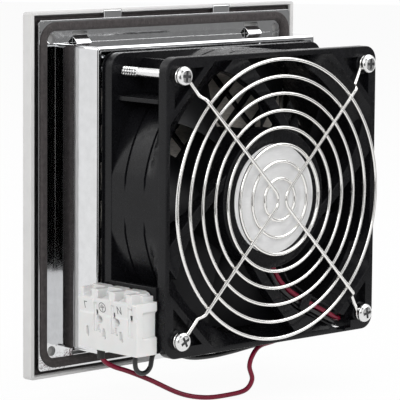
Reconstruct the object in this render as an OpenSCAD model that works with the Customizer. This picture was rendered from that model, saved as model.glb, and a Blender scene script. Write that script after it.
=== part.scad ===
// Cabinet filter fan: louvred cover, metallised base frame, filter mat, axial fan and wire guard.
// Millimetres. The origin is the centre of the flange's rear face, +Y points into the cabinet, +Z is up.

/* [Front cover] */
// Width and height of the square cover
cover_w = 150; // [146:0.5:158]
// Depth of the cover's edge
cover_t = 5.2; // [4.8:0.1:8]
// Corner radius of the cover
cover_r = 1.2; // [0.8:0.1:2]
// Wall of the cover's rim and front
cover_wall = 1.9; // [1.6:0.1:2.2]
// Chamfer along the cover's front edge
cover_chamfer = 1; // [0.5:0.1:1.4]
// Width and height of the louvre field
field_w = 112; // [100:1:116]
// Number of louvre slats
slat_n = 13; // [9:1:14]
// Thickness of a slat
slat_t = 1.5; // [1.2:0.1:2]

/* [Hinge] */
// Radius of the hinge pin
hinge_pin_r = 0.75; // [0.6:0.05:0.8]
// Radius of the hinge knuckles
knuckle_r = 1.4; // [1.35:0.05:1.45]
// Length of the middle knuckle
knuckle_len = 17; // [12:1:24]

/* [Base frame] */
// Thickness of the flange
flange_t = 2; // [1.6:0.1:2.6]
// Corner radius of the flange
flange_r = 1.5; // [1:0.5:3]
// Width of the bead outside the gasket
bead_w = 0.8; // [0.6:0.1:1.2]
// Height of the bead
bead_h = 1; // [0.6:0.1:1.4]
// Distance from the cover's edge to the collar
collar_margin = 12.9; // [12.6:0.1:13.4]
// Depth of the collar behind the flange
collar_d = 25.8; // [24:0.1:32]
// Wall of the collar
collar_wall = 2.2; // [1.6:0.1:2.4]
// Outside corner radius of the collar
collar_r = 1.5; // [1:0.5:3]
// Radius of the corner holes
hole_r = 2.1; // [1.7:0.1:2.3]
// Distance from the gasket's inner edge to a corner hole's centre
hole_inset = 2.6; // [2.4:0.1:3]
// Distance from the flange face to the ledge that carries the grid
ledge_y = 12; // [11:0.2:13]
// Width of the snap ramps
ramp_w = 8; // [6:0.5:10]

/* [Gasket and filter] */
// Width of the gasket
gasket_w = 4.2; // [3.4:0.1:4.4]
// Thickness of the gasket
gasket_t = 2; // [1.5:0.1:3]
// Thickness of the filter mat
mat_t = 9.2; // [6:0.1:9.4]
// Thickness of the grid
grid_t = 2.4; // [2:0.1:3]
// Spacing of the grid's bars
grid_pitch = 11; // [10:0.5:16]
// Width of a grid bar
grid_bar = 1.2; // [1:0.1:1.6]

/* [Fan] */
// Distance from the collar's face to the fan's edge
fan_margin = 2.35; // [2.1:0.05:3]
// Depth of the fan
fan_d = 38; // [37:0.5:42]
// Corner radius of the fan's flanges
fan_r = 6; // [4:0.5:7]
// Thickness of the front flange
front_flange_t = 6; // [5:0.1:6.5]
// Thickness of the rear flange
rear_flange_t = 4.5; // [4:0.1:5]
// Depth of the set-back lip at the fan's front
lip_t = 2; // [1:0.1:2.5]
// Least flange width beside the duct
duct_edge = 2.25; // [1.8:0.05:2.6]
// Wall of the duct
duct_wall = 3.1; // [2.6:0.1:3.4]
// Distance from the fan's edge to a screw's axis
screw_inset = 7.25; // [7:0.05:7.8]
// Radius of the hub
hub_r = 28.5; // [27.5:0.1:30]
// Depth of the hub's wall
hub_depth = 10; // [9.5:0.1:11]
// Radius of the silver disc
disc_r = 22.4; // [18:0.1:23.5]

/* [Rotor and motor] */
// Number of blades
blade_n = 7; // [5:1:9]
// Gap between blade tip and duct
tip_gap = 1.5; // [1.2:0.1:2.5]
// Wall of the impeller's cup
cup_wall = 1.6; // [1.2:0.1:1.8]
// Radius of the shaft
shaft_r = 2.5; // [2:0.1:3]
// Outside radius of the ball bearings
bearing_r = 8; // [7.5:0.1:8.5]
// Width of a ball bearing
bearing_w = 5; // [4:0.1:5]
// Wall of the bearing tube
tube_wall = 1.5; // [1.2:0.1:1.8]
// Outside radius of the stator
stator_r = 20.2; // [19.5:0.1:20.5]
// Length of the stator stack
stator_len = 11; // [10:0.1:11.5]
// Air gap between stator and cage ring
air_gap = 0.4; // [0.35:0.05:0.5]

/* [Guard and screws] */
// Radius of the guard's wire
wire_r = 0.8; // [0.7:0.05:0.9]
// Number of rings
ring_n = 8; // [6:1:8]
// Radius of the innermost ring
ring_r0 = 8.6; // [7.5:0.1:9]
// Distance from the duct's edge to the outermost ring
ring_edge = 0.6; // [0.4:0.1:2]
// Height of the rings' plane above the fan
guard_h = 3.4; // [2.6:0.1:4.5]
// Length of the screws under their heads
screw_len = 50; // [46:0.5:52]
// Radius of the screws
screw_r = 1.95; // [1.8:0.05:2]
// Radius of the screw heads
head_r = 3.9; // [3.4:0.1:4]

/* [Terminal block and leads] */
// Length of the terminal block
term_len = 34.5; // [33.5:0.5:36]
// Depth of the terminal block's foot
term_w = 11.4; // [11:0.1:13]
// Height of the terminal block
term_h = 23.3; // [22.5:0.1:26]
// Thickness of the bracket
bracket_t = 3; // [2.6:0.1:3.2]
// Radius of a lead
lead_r = 1; // [0.8:0.05:1]
// Length of the black sleeve
sleeve_len = 4.6; // [3:0.1:5]

/* [Hidden] */
$fn = 64;
eps = 0.01;

// Named clearances
edge_gap = 1.5;      // between the cover's rim and the flange
run_gap = 0.05;      // radial running fit
slack = 0.3;         // between pieces that move past each other
mat_gap = 0.5;       // round the filter mat and the grid
mesh_weld = 0.15;    // depth by which guard wires are welded into each other

// Frame
cover_in_r = 0.5;
collar_w = cover_w - 2 * collar_margin;
flange_w = cover_w - 2 * (cover_wall + edge_gap);
gasket_out = flange_w - 2 * bead_w;
gasket_in = gasket_out - 2 * gasket_w;
gasket_in_r = 4;
hole_at = gasket_in / 2 - hole_inset;
collar_in = collar_w - 2 * collar_wall;
collar_in_r = max(collar_r - collar_wall, 0.4);
fan_w = collar_w - 2 * fan_margin;
ledge_t = 2;
ledge_w = 5;
grid_y = ledge_y - grid_t;
mat_y = grid_y - mat_t;
screw_at = fan_w / 2 - screw_inset;
boss_r = collar_in / 2 - screw_at + 0.4;
ramp_at = 49;
ramp_h = 3;
catch_at = 31;
catch_w = 9.6;

// Hinge at the lower edge
hinge_y = -knuckle_r - 0.1;
hinge_z = -cover_w / 2 + knuckle_r + 0.05;
knuckle_end = 7;
knuckle_mid = knuckle_len / 2 + slack + knuckle_end / 2;

// Louvres
slat_pitch = field_w / slat_n;
slat_y0 = -cover_t;
slat_y1 = -0.6;

// Fan
fan_y = collar_d;
fan_y1 = collar_d + fan_d;
duct_r = fan_w / 2 - duct_edge;
flare_d = 7;
flare_at = duct_r + 6.7;
rib_t = 2.8;
pocket_at = fan_w / 2 - 4.4;
pocket_leg = 2 * pocket_at - (flare_at + rib_t) * sqrt(2);
pocket_d = 3;
boss_pad_r = 4.4;
fan_hole_r = screw_r + 0.25;
strut_y0 = fan_y1 - 6;
strut_y1 = fan_y1 - 0.6;
hub_t = 3;
hub_wall = 1.6;
web_at = 42;
web_t = 1.8;
web_out = fan_w / 2 - bracket_t + 0.6;

// Motor, from the rear plate forward
tube_r = bearing_r + tube_wall;
rear_bearing_y = fan_y1 - 4.5 - bearing_w;
cup_y = fan_y + 4;
cup_t = 2;
cup_y1 = fan_y1 - hub_depth - 1;
cup_r = hub_r - 1.5;
boss_len = 5;
spring_t = 1.7;
front_bearing_y = cup_y + cup_t + boss_len + spring_t + slack;
ring_in = stator_r + air_gap;
ring_out = cup_r - cup_wall;
stator_y = cup_y1 - 1.5 - stator_len;
coil_over = 1.6;
clip_y = rear_bearing_y + bearing_w + 0.4;
clip_t = 0.6;

// Blades
blade_tip = duct_r - tip_gap;
blade_root = cup_r - 0.8;
blade_phase = 33;

// Guard
guard_y = fan_y1 + guard_h;
spoke_y = guard_y + 2 * wire_r - mesh_weld;
eye_r = screw_r + wire_r + 0.15;
apex_r = 5.5;
kink_from = screw_at * sqrt(2) - 9.65;
kink_to = screw_at * sqrt(2) - 7.45;
ring_step = (duct_r - ring_edge - ring_r0) / (ring_n - 1);
head_h = 2.6;
head_y = fan_y1 + 2 * wire_r;

// Terminal block: its corner next to the bracket, at the front and the bottom
bracket_x = fan_w / 2 + 1.05;
term_x = bracket_x;
term_y = collar_d;
term_z = -fan_w / 2 + 2.25;
bracket_z = term_z + 26.5;
pole_n = 3;
pole_pitch = 10.15;
face_x = term_w - 0.7;
hump_w = 4.8;
hump_h = 1.6;
bar_x = 4.2;
cavity_x = 7.5;
cavity_z = 3;
bracket_y1 = fan_y1 - rear_flange_t;
bracket_y = fan_y + front_flange_t;

// Routes of the leads, as they lie: from the winding, along the tray, under the fan, to the block.
// Their inner stretch follows the fan's rear face and their last points follow the block.
tray_y = fan_y1 - 1.9;
tray = [[0, -26], [-7, -37], [-17, -43.5], [-28, -49], [-37, -53.3]];
tray_half = 3.8;
tray_wall = 0.8;
tray_floor = tray_y - lead_r - 0.05;
slot_x = [-46.6, -38.2];
slot_z = [-58.4, -52.6];
rib_cut = [[-25, -48], [-37, -54], [-44, -56.4]];
drop_cut = [[-34.6, -52.6], [-37, -54], [-44, -56.4]];
web_cut_d = 9;
guide_t = 1.2;
guide_d = 12;
bobbin_y1 = stator_y + stator_len + coil_over + 0.6;
wire_x = term_x + 5.2;
wire_end_z = term_z + cavity_z;
red_y = term_y + 7.2;
black_y = red_y + 2 * pole_pitch;
red_route = [[2, bobbin_y1, -17], [2, bobbin_y1 + 2.2, -17.6], [1.6, tray_y - 2.6, -20.2],
    [0.4, tray_y - 0.6, -24.4], [-2, tray_y, -29], [-6, tray_y, -34.6], [-11, tray_y, -38.8],
    [-17, tray_y, -42.4], [-27, tray_y, -47.4], [-35, tray_y, -51.3], [-40, tray_y - 0.9, -53.6],
    [-42.6, tray_y - 1.8, -54.3], [-44.2, tray_y - 3.9, -54.8], [-44.2, tray_y - 6.6, -55.2],
    [-42.6, tray_y - 8.7, -55.8], [-39.6, tray_y - 9.6, -56.7], [-33, tray_y - 9.4, -58.4],
    [-22, tray_y - 9, -60.4],
    [-10, tray_y - 8.2, -61.5], [-2, 54.6, -62.3], [2.6, 55.2, -65.4], [4.4, 55.2, -70], [3.2, 55.6, -75.4],
    [6, 54.6, -79.6], [13, 52, -81.2], [23, 48.4, -81.6], [33.4, 44.7, -79], [46, 40.2, -72.4],
    [55, 37, -68.2], [60.6, 35, -66], [64.4, 33.6, -63.6],
    [wire_x, red_y, term_z - 3.4], [wire_x, red_y, term_z - 0.6], [wire_x, red_y, wire_end_z]];
black_route = [[4.4, bobbin_y1, -17], [4.4, bobbin_y1 + 2.2, -17.6], [4, tray_y - 2.6, -20.4],
    [2.6, tray_y - 0.6, -25], [0, tray_y, -30.2], [-4.2, tray_y, -36], [-9.6, tray_y, -40.6],
    [-16, tray_y, -44.5], [-26, tray_y, -49.6], [-34, tray_y, -53.5], [-38.6, tray_y - 1, -55.6],
    [-41.6, tray_y - 3, -56.8], [-43, tray_y - 6.4, -57.6], [-41.4, tray_y - 9.6, -58.4],
    [-37.6, tray_y - 11.4, -59.2], [-31, tray_y - 11.8, -60.2], [-22, tray_y - 11.8, -61.4],
    [-10, tray_y - 11, -61.9], [2, 52, -62.4], [12, 52.8, -63], [23, 53.2, -63.4], [33, 53.2, -63],
    [40, 53.2, -61.5], [45.6, 53.2, -59.1], [49.6, 53.2, -57.6], [52.6, 53.2, -57.2], [55, 53.2, -57.8],
    [56.6, 53.2, -59.4],
    [57.2, 53.2, -61.5], [57.8, 53.2, -63.7], [59.4, 53.2, -65.3], [61.6, 53.2, -65.9],
    [63.8, 53.2, -65.3], [65.4, 53.2, -63.7], [wire_x, black_y, term_z - 4], [wire_x, black_y, term_z - 1],
    [wire_x, black_y, wire_end_z]];

// Helpers

// Extrudes a shape drawn in X and Z from y0 to y1.
module slab(y0, y1) {
    translate([0, y1, 0]) rotate([90, 0, 0]) linear_extrude(y1 - y0) children();
}

// Cylinder or cone along Y.
module rod_y(y0, y1, r0, r1 = undef) {
    translate([0, y0, 0]) rotate([-90, 0, 0]) cylinder(h = y1 - y0, r1 = r0, r2 = is_undef(r1) ? r0 : r1);
}

module tube_y(y0, y1, r_in, r_out) {
    difference() {
        rod_y(y0, y1, r_out);
        rod_y(y0 - 1, y1 + 1, r_in);
    }
}

// Square with rounded corners.
module round_square(w, r) {
    square([w - 2 * r, w], center = true);
    square([w, w - 2 * r], center = true);
    for (x = [-1, 1], y = [-1, 1]) translate([x * (w / 2 - r), y * (w / 2 - r)]) circle(r);
}

module four_corners(at) {
    for (x = [-1, 1], z = [-1, 1]) translate([x * at, 0, z * at]) children();
}

// Strip along plan points, used for the lead tray.
function side(p, i) = let (d = p[min(i + 1, len(p) - 1)] - p[max(i - 1, 0)]) [-d[1], d[0]] / norm(d);
function strip(p, half) = concat([for (i = [0 : len(p) - 1]) p[i] + side(p, i) * half],
    [for (i = [len(p) - 1 : -1 : 0]) p[i] - side(p, i) * half]);

// Smooth curve through the points of a route, three steps to a stretch.
function spline(a, b, c, d, t) = 0.5 * (2 * b + (c - a) * t + (2 * a - 5 * b + 4 * c - d) * t * t
    + (3 * b - a - 3 * c + d) * t * t * t);
function curve(p, steps) = let (n = len(p)) concat([for (i = [0 : n - 2], k = [0 : steps - 1])
    spline(p[max(i - 1, 0)], p[i], p[i + 1], p[min(i + 2, n - 1)], k / steps)], [p[n - 1]]);
function unit(v) = v / norm(v);
function heading(p, i) = unit(p[min(i + 1, len(p) - 1)] - p[max(i - 1, 0)]);
function flatten_to(v, t) = unit(v - (v * t) * t);
function normals(p, i, last) = i == len(p) ? [] : let (n = flatten_to(last, heading(p, i)))
    concat([n], normals(p, i + 1, n));

// Round section swept along points.
module sweep(p, r, sides) {
    n = normals(p, 0, [1, 0.2, 0]);
    m = len(p);
    points = [for (i = [0 : m - 1], k = [0 : sides - 1]) let (b = cross(heading(p, i), n[i]))
        p[i] + r * (cos(k * 360 / sides) * n[i] + sin(k * 360 / sides) * b)];
    walls = [for (i = [0 : m - 2], k = [0 : sides - 1]) let (q = (k + 1) % sides)
        [i * sides + k, (i + 1) * sides + k, (i + 1) * sides + q, i * sides + q]];
    ends = [[for (k = [0 : sides - 1]) k], [for (k = [sides - 1 : -1 : 0]) (m - 1) * sides + k]];
    polyhedron(points, concat(walls, ends), convexity = 10);
}

module lead(route) {
    sweep(curve(route, 2), lead_r, 8);
}

// Base frame

module base_frame() color([0.86, 0.87, 0.89]) difference() {
    union() {
        difference() {
            union() {
                slab(-flange_t, 0) round_square(flange_w, flange_r);
                slab(-eps, bead_h) round_square(flange_w, flange_r);
                slab(-eps, collar_d) round_square(collar_w, collar_r);
            }
            slab(0, bead_h + 1) difference() {
                round_square(gasket_out, gasket_in_r + gasket_w);
                round_square(collar_w, collar_r);
            }
            slab(-flange_t - 1, collar_d + 1) round_square(collar_in, collar_in_r);
        }
        slab(ledge_y, ledge_y + ledge_t) difference() {
            round_square(collar_in + 1, collar_in_r);
            square(collar_in - 2 * ledge_w, center = true);
        }
        intersection() {
            four_corners(screw_at) rod_y(ledge_y, collar_d, boss_r);
            slab(ledge_y, collar_d) round_square(collar_in + 1, collar_in_r);
        }
        snap_ramps();
        catches();
        base_knuckle();
    }
    four_corners(screw_at) rod_y(ledge_y - 1, collar_d + 1, screw_r + run_gap);
    four_corners(hole_at) rod_y(-flange_t - 1, 1, hole_r);
    for (x = [-1, 1], z = [-1, 1])
        translate([x * ramp_at - ramp_w / 2, -flange_t - 1, z * (collar_w / 2 + ramp_h + 0.9) - 0.8])
            cube([ramp_w, flange_t + 2, 1.6]);
    translate([-knuckle_len, hinge_y, hinge_z]) rotate([0, 90, 0])
        cylinder(h = 2 * knuckle_len, r = hinge_pin_r + run_gap);
}

// Sloped lugs at the root of the collar that snap behind the cabinet's wall.
module snap_ramps() {
    for (x = [-1, 1], z = [-1, 1])
        translate([x * ramp_at - ramp_w / 2, 0, 0]) scale([1, 1, z]) rotate([90, 0, 90])
            linear_extrude(ramp_w) polygon([[-eps, collar_w / 2 - 0.5], [ramp_h, collar_w / 2 - 0.5],
                [ramp_h, collar_w / 2], [-eps, collar_w / 2 + ramp_h]]);
}

// Lugs on the upper edge that sit in notches of the cover's rim.
module catches() {
    for (x = [-1, 1])
        translate([x * catch_at - catch_w / 2, -flange_t, flange_w / 2 - 1])
            cube([catch_w, flange_t, cover_w / 2 - flange_w / 2 + 0.6]);
}

module base_knuckle() {
    translate([-knuckle_len / 2, hinge_y, hinge_z]) rotate([0, 90, 0])
        cylinder(h = knuckle_len, r = knuckle_r);
    translate([-knuckle_len / 2, hinge_y - 0.4, hinge_z])
        cube([knuckle_len, 0.4 - hinge_y, -flange_w / 2 - hinge_z + 1]);
}

module gasket() color([0.2, 0.18, 0.18]) slab(0, gasket_t) difference() {
    round_square(gasket_out - 0.1, gasket_in_r + gasket_w);
    round_square(gasket_in, gasket_in_r);
}

module filter_mat() color([0.78, 0.76, 0.72])
    slab(mat_y, grid_y) square(collar_in - 2 * mat_gap, center = true);

// Diagonal lattice in a square frame.
module inner_grid() color([0.1, 0.1, 0.1]) {
    w = collar_in - 2 * mat_gap;
    n = floor(w * 0.707 / grid_pitch);
    slab(grid_y, ledge_y) {
        difference() {
            square(w, center = true);
            square(w - 5, center = true);
        }
        for (turn = [-45, 45]) intersection() {
            rotate(turn) for (i = [-n : n]) translate([-w, i * grid_pitch - grid_bar / 2])
                square([2 * w, grid_bar]);
            square(w - 4, center = true);
        }
    }
}

// Fan housing

module fan_housing() color([0.13, 0.13, 0.14]) difference() {
    union() {
        difference() {
            union() {
                slab(fan_y + lip_t, fan_y + front_flange_t) round_square(fan_w, fan_r);
                slab(fan_y, fan_y + lip_t + eps) round_square(fan_w - 2, fan_r - 1);
                slab(fan_y1 - rear_flange_t, fan_y1) round_square(fan_w, fan_r);
                duct();
                side_webs();
            }
            rod_y(fan_y - 1, fan_y1 + 1, duct_r);
            rod_y(fan_y - eps, fan_y + front_flange_t, duct_r + 1.2, duct_r - eps);
            corner_flares();
            corner_pockets();
        }
        four_corners(screw_at) rod_y(fan_y1 - rear_flange_t, fan_y1, boss_pad_r);
        struts();
        lead_tray();
        lead_guide();
        hub_cup();
    }
    four_corners(screw_at) rod_y(fan_y - 1, fan_y1 + 1, fan_hole_r);
    rod_y(fan_y1 - hub_t - 1, fan_y1 + 1, tube_r);
    translate([bracket_x - bracket_t, bracket_y, term_z - 1])
        cube([bracket_t, bracket_y1 - bracket_y, bracket_z - term_z + 1]);
    translate([-5.4, tray_floor - 0.6, -hub_r - 1.5]) cube([12, 4.6, hub_r - 18.8]);
    slab(tray_floor, fan_y1 + 1) polygon(strip(rib_cut, tray_half - tray_wall));
    slab(tray_floor - 1.6, fan_y1 + 1) polygon(strip(drop_cut, tray_half - tray_wall));
    translate([slot_x[0], fan_y1 - rear_flange_t - 1, slot_z[0]])
        cube([slot_x[1] - slot_x[0], rear_flange_t + 2, slot_z[1] - slot_z[0]]);
    translate([-web_at - web_t, fan_y1 - rear_flange_t - web_cut_d, slot_z[0] - 1])
        cube([2 * web_t, web_cut_d + 1, slot_z[1] - slot_z[0] + 0.4]);
}

// Round duct between the flanges, with two grooves, flared into the rear flange's corners.
module duct() {
    r = duct_r + duct_wall;
    intersection() {
        difference() {
            union() {
                rod_y(fan_y + lip_t, fan_y1 - 1, r);
                rod_y(fan_y1 - flare_d - 3, fan_y1 - 1, r, r + 11);
            }
            for (y = [fan_d * 0.36, fan_d * 0.66]) tube_y(fan_y + y, fan_y + y + 1, r - 0.8, r + 1);
        }
        slab(fan_y, fan_y1) square(fan_w - eps, center = true);
    }
}

module side_webs() {
    for (turn = [0, 90, 180, 270], z = [-1, 1]) rotate([0, turn, 0])
        translate([duct_r * 0.7, fan_y + front_flange_t - 1, z * web_at - web_t / 2])
            cube([web_out - duct_r * 0.7, fan_d - front_flange_t - rear_flange_t + 2, web_t]);
}

// Eight-sided opening at the rear, whose slanted corner faces lead into the round duct.
module corner_flares() {
    intersection() {
        for (turn = [45, 135, 225, 315]) rotate([0, turn, 0])
            translate([0, 0, -duct_r]) linear_extrude(2 * duct_r)
                polygon([[duct_r * 0.6, fan_y1 - flare_d], [duct_r, fan_y1 - flare_d],
                    [flare_at, fan_y1 + eps], [flare_at, fan_y1 + 1], [duct_r * 0.6, fan_y1 + 1]]);
        slab(fan_y1 - flare_d - 1, fan_y1 + 2) square(2 * duct_r - 0.2, center = true);
    }
}

// Three-cornered recesses round the screws.
module corner_pockets() {
    slab(fan_y1 - pocket_d, fan_y1 + 1) for (x = [-1, 1], z = [-1, 1]) scale([x, z])
        polygon([[pocket_at, pocket_at], [pocket_at - pocket_leg, pocket_at],
            [pocket_at, pocket_at - pocket_leg]]);
}

// Swept struts from the hub to the flange, wider at the flange.
strut_a = hub_r * [0.456, 0.596];
strut_b = [duct_r * 0.748, 1.4];
strut_c = [duct_r + 1.1, -25];
function strut_mid(t) = (1 - t) * (1 - t) * strut_a + 2 * t * (1 - t) * strut_b + t * t * strut_c;
function strut_half(t) = 2 + 4.6 * t * t * t * t;
function strut_edge(t, s) = let (d = strut_mid(t + 0.01) - strut_mid(t - 0.01))
    strut_mid(t) + s * strut_half(t) * [-d[1], d[0]] / norm(d);
strut_steps = 8;

module struts() {
    for (turn = [0, 90, 180, 270]) rotate([0, turn, 0]) slab(strut_y0, strut_y1)
        intersection() {
            polygon(concat([for (i = [0 : strut_steps]) strut_edge(i / strut_steps, 1)],
                [for (i = [strut_steps : -1 : 0]) strut_edge(i / strut_steps, -1)]));
            square(fan_w - 2, center = true);
        }
}

// Channel that carries the leads across the duct, with a strap over them.
module lead_tray() {
    slab(tray_floor - 1.5, tray_floor) polygon(strip(tray, tray_half));
    slab(tray_floor - eps, strut_y1) difference() {
        polygon(strip(tray, tray_half));
        polygon(strip([for (p = tray) p + (p - tray[2]) * 0.1], tray_half - tray_wall));
    }
    translate([-19.5, fan_y1 - 0.85, -44.6]) rotate([0, -26, 0]) translate([-2.4, 0, -tray_half])
        cube([4.8, 0.8, 2 * tray_half]);
}

// Upright plate beside the slot that keeps the leads in the corner.
module lead_guide() {
    translate([slot_x[0] - guide_t, fan_y1 - rear_flange_t - guide_d, slot_z[0] - 0.6])
        cube([guide_t, guide_d + eps, slot_z[1] - slot_z[0] + 2]);
}

// Shallow cup that carries the motor.
module hub_cup() {
    rod_y(fan_y1 - hub_t, fan_y1, hub_r);
    tube_y(fan_y1 - hub_depth, fan_y1 - hub_t + eps, hub_r - hub_wall, hub_r);
}

// Motor

module bearing_tube() color([0.75, 0.6, 0.3]) tube_y(front_bearing_y, fan_y1 - 0.4, bearing_r, tube_r);

// Ball bearing with recessed shields.
module bearing(y) {
    rotate([-90, 0, 0]) translate([0, 0, y]) rotate_extrude()
        polygon([[shaft_r + run_gap, 0], [shaft_r + 1.4, 0], [shaft_r + 1.6, 0.5], [bearing_r - 1.5, 0.5],
            [bearing_r - 1.3, 0], [bearing_r, 0], [bearing_r, bearing_w], [bearing_r - 1.3, bearing_w],
            [bearing_r - 1.5, bearing_w - 0.5], [shaft_r + 1.6, bearing_w - 0.5], [shaft_r + 1.4, bearing_w],
            [shaft_r + run_gap, bearing_w]]);
}

module front_bearing() color([0.7, 0.7, 0.72]) bearing(front_bearing_y);

module rear_bearing() color([0.7, 0.7, 0.72]) bearing(rear_bearing_y);

pole_half = 3.4;
core_r = tube_r + 2.6;
shoe_in = stator_r - 2.2;
coil_half = pole_half + 2.2;
coil_end = sqrt(shoe_in * shoe_in - coil_half * coil_half) - 0.2;

module stator_core() color([0.45, 0.45, 0.47]) slab(stator_y, stator_y + stator_len) {
    difference() {
        union() {
            circle(core_r);
            for (turn = [0, 90]) rotate(turn) square([2 * shoe_in + 1, 2 * pole_half], center = true);
            difference() {
                circle(stator_r);
                circle(shoe_in);
                for (turn = [45, 135]) rotate(turn) square([2 * stator_r + 1, 4], center = true);
            }
        }
        circle(tube_r);
    }
}

// Frame of insulation round each pole.
module coil_frame(half_in, half_out, over_in, over_out) {
    for (turn = [0, 90, 180, 270]) rotate([0, turn, 0]) translate([core_r + 0.1, 0, 0]) difference() {
        translate([0, stator_y - over_out, -half_out])
            cube([coil_end - core_r - 0.1, stator_len + 2 * over_out, 2 * half_out]);
        translate([-1, stator_y - over_in, -half_in]) cube([shoe_in, stator_len + 2 * over_in, 2 * half_in]);
    }
}

module coil_bobbins() color([0.9, 0.88, 0.8]) {
    coil_frame(pole_half, pole_half + 0.6, 0, 0.6);
    tube_y(bobbin_y1 - 0.6, bobbin_y1, tube_r, shoe_in - 0.3);
    tube_y(stator_y + stator_len, bobbin_y1 - 0.5, tube_r, core_r);
}

module stator_coils() color([0.75, 0.42, 0.2]) coil_frame(pole_half + 0.6, coil_half, 0.6, coil_over);

module hub_disc() color([0.85, 0.85, 0.86]) rod_y(fan_y1, fan_y1 + 0.3, disc_r);

// Rotor

// One blade, from stations along the radius and points along the chord.
stations = 5;
chord = 7;
function blade_wrap(s) = 34 + 8 * s;
function blade_y(s, t) = cup_y + 1.6 + 1.2 * s + (cup_y1 - cup_y - 3.4 - 3.2 * s) * (t + 0.22 * t * (1 - t));
function blade_thick(s, t) = (1.7 - 0.6 * s) * (0.4 + 2.4 * t * (1 - t));
function blade_r(s) = blade_root + s * (blade_tip - blade_root);
function blade_point(s, t, up) = let (r = blade_r(s), a = blade_phase - blade_wrap(s) * t - 6 * s)
    [r * cos(a), blade_y(s, t) + up * blade_thick(s, t) / 2, r * sin(a)];
function loop_index(j) = j < chord ? [j, 1] : [2 * chord - 1 - j, -1];

module blade() {
    m = 2 * chord;
    points = [for (i = [0 : stations - 1], j = [0 : m - 1]) let (q = loop_index(j))
        blade_point(i / (stations - 1), q[0] / (chord - 1), q[1])];
    walls = [for (i = [0 : stations - 2], j = [0 : m - 1]) let (k = (j + 1) % m, a = i * m, b = (i + 1) * m)
        each [[a + j, a + k, b + j], [a + k, b + k, b + j]]];
    ends = [for (j = [0 : chord - 2]) let (q = m - 1 - j, b = (stations - 1) * m)
        each [[j, q, j + 1], [j + 1, q, q - 1], [b + j, b + j + 1, b + q], [b + j + 1, b + q - 1, b + q]]];
    polyhedron(points, concat(walls, ends), convexity = 6);
}

module impeller() color([0.12, 0.12, 0.13]) {
    difference() {
        union() {
            rotate([-90, 0, 0]) rotate_extrude() polygon([[0, cup_y], [cup_r - 2, cup_y], [cup_r, cup_y + 2],
                [cup_r, cup_y1], [cup_r - cup_wall, cup_y1], [cup_r - cup_wall, cup_y + cup_t + 0.6],
                [cup_r - cup_wall - 0.6, cup_y + cup_t], [0, cup_y + cup_t]]);
            rod_y(cup_y + cup_t - eps, cup_y + cup_t + boss_len, shaft_r + 2.5);
        }
        rod_y(cup_y + 1, cup_y + cup_t + boss_len + 1, shaft_r);
    }
    for (i = [0 : blade_n - 1]) rotate([0, i * 360 / blade_n, 0]) blade();
}

module rotor_ring() color([0.55, 0.55, 0.56])
    tube_y(stator_y - 1, stator_y + stator_len + 1, ring_in, ring_out);

module shaft() color([0.7, 0.7, 0.72]) difference() {
    rod_y(cup_y + 1, clip_y + clip_t + 0.7, shaft_r);
    tube_y(clip_y, clip_y + clip_t, shaft_r - 0.5, shaft_r + 1);
}

module preload_spring() color([0.6, 0.6, 0.62])
    tube_y(cup_y + cup_t + boss_len, front_bearing_y - slack, shaft_r, shaft_r + 1.3);

module retaining_clip() color([0.6, 0.6, 0.62]) difference() {
    tube_y(clip_y, clip_y + clip_t, shaft_r - 0.5, shaft_r + 1.6);
    translate([-0.9, clip_y - 1, 0]) cube([1.8, clip_t + 2, shaft_r + 3]);
}

// Guard and screws

module wire_ring(r) {
    rotate([90, 0, 0]) rotate_extrude() translate([r, 0]) circle(wire_r, $fn = 24);
}

module guard_rings() color([0.8, 0.8, 0.82])
    for (i = [0 : ring_n - 1]) translate([0, guard_y, 0]) wire_ring(ring_r0 + i * ring_step);

// Half of a V-bent wire: from its point along the diagonal, down the kink and round the screw.
function on_diagonal(d, y) = [d / sqrt(2), y, d / sqrt(2)];
eye_y = fan_y1 + wire_r;
eye_from = 195;
eye_sweep = 290;
eye_steps = 14;
apex_steps = 5;
function half_wire() = concat(
    [for (i = [0 : apex_steps]) let (t = 180 - 45 * i / apex_steps)
        [apex_r * (sqrt(2) + cos(t)), spoke_y, apex_r * sin(t)]],
    [on_diagonal((apex_r + kink_from) / 2, spoke_y), on_diagonal(kink_from, spoke_y),
        on_diagonal(kink_to, eye_y)],
    [for (i = [0 : eye_steps]) let (t = eye_from - eye_sweep * i / eye_steps)
        [screw_at + eye_r * cos(t), eye_y, screw_at + eye_r * sin(t)]]);

// Two wires bent to a V, their points near the fan's axis.
module guard_wires() color([0.8, 0.8, 0.82]) {
    half = half_wire();
    path = concat([for (i = [len(half) - 1 : -1 : 1]) half[i]],
        [for (p = half) [p[0], p[1], -p[2]]]);
    for (turn = [0, 180]) rotate([0, turn, 0]) sweep(path, wire_r, 10);
}

thread_pitch = 1.4;
thread_from = 25;

module guard_screws() color([0.75, 0.75, 0.76]) four_corners(screw_at) translate([0, head_y, 0]) {
    difference() {
        rotate([-90, 0, 0]) rotate_extrude() polygon([[0, 0], [head_r, 0], [head_r, 0.7], [head_r - 0.5, 1.6],
            [head_r - 1.5, head_h - 0.4], [head_r - 2.4, head_h - 0.2], [0, head_h - 0.2]]);
        for (turn = [0, 90]) rotate([0, turn + 20, 0]) translate([-2, 0.9, -0.45]) cube([4, head_h, 0.9]);
    }
    screw_shank();
}

// Plain shank, then a thread shown as rings.
module screw_shank() {
    n = floor((screw_len - thread_from - 3) / thread_pitch);
    rotate([90, 0, 0]) rotate_extrude($fn = 24) polygon(concat([[0, 0], [screw_r, 0], [screw_r, thread_from]],
        [for (i = [0 : n - 1]) let (y = thread_from + i * thread_pitch) each [[screw_r - 0.5, y + 0.5],
            [screw_r, y + 1.2], [screw_r, y + thread_pitch]]],
        [[screw_r - 0.6, screw_len - 2], [0, screw_len]]));
}

// Terminal block

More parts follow.
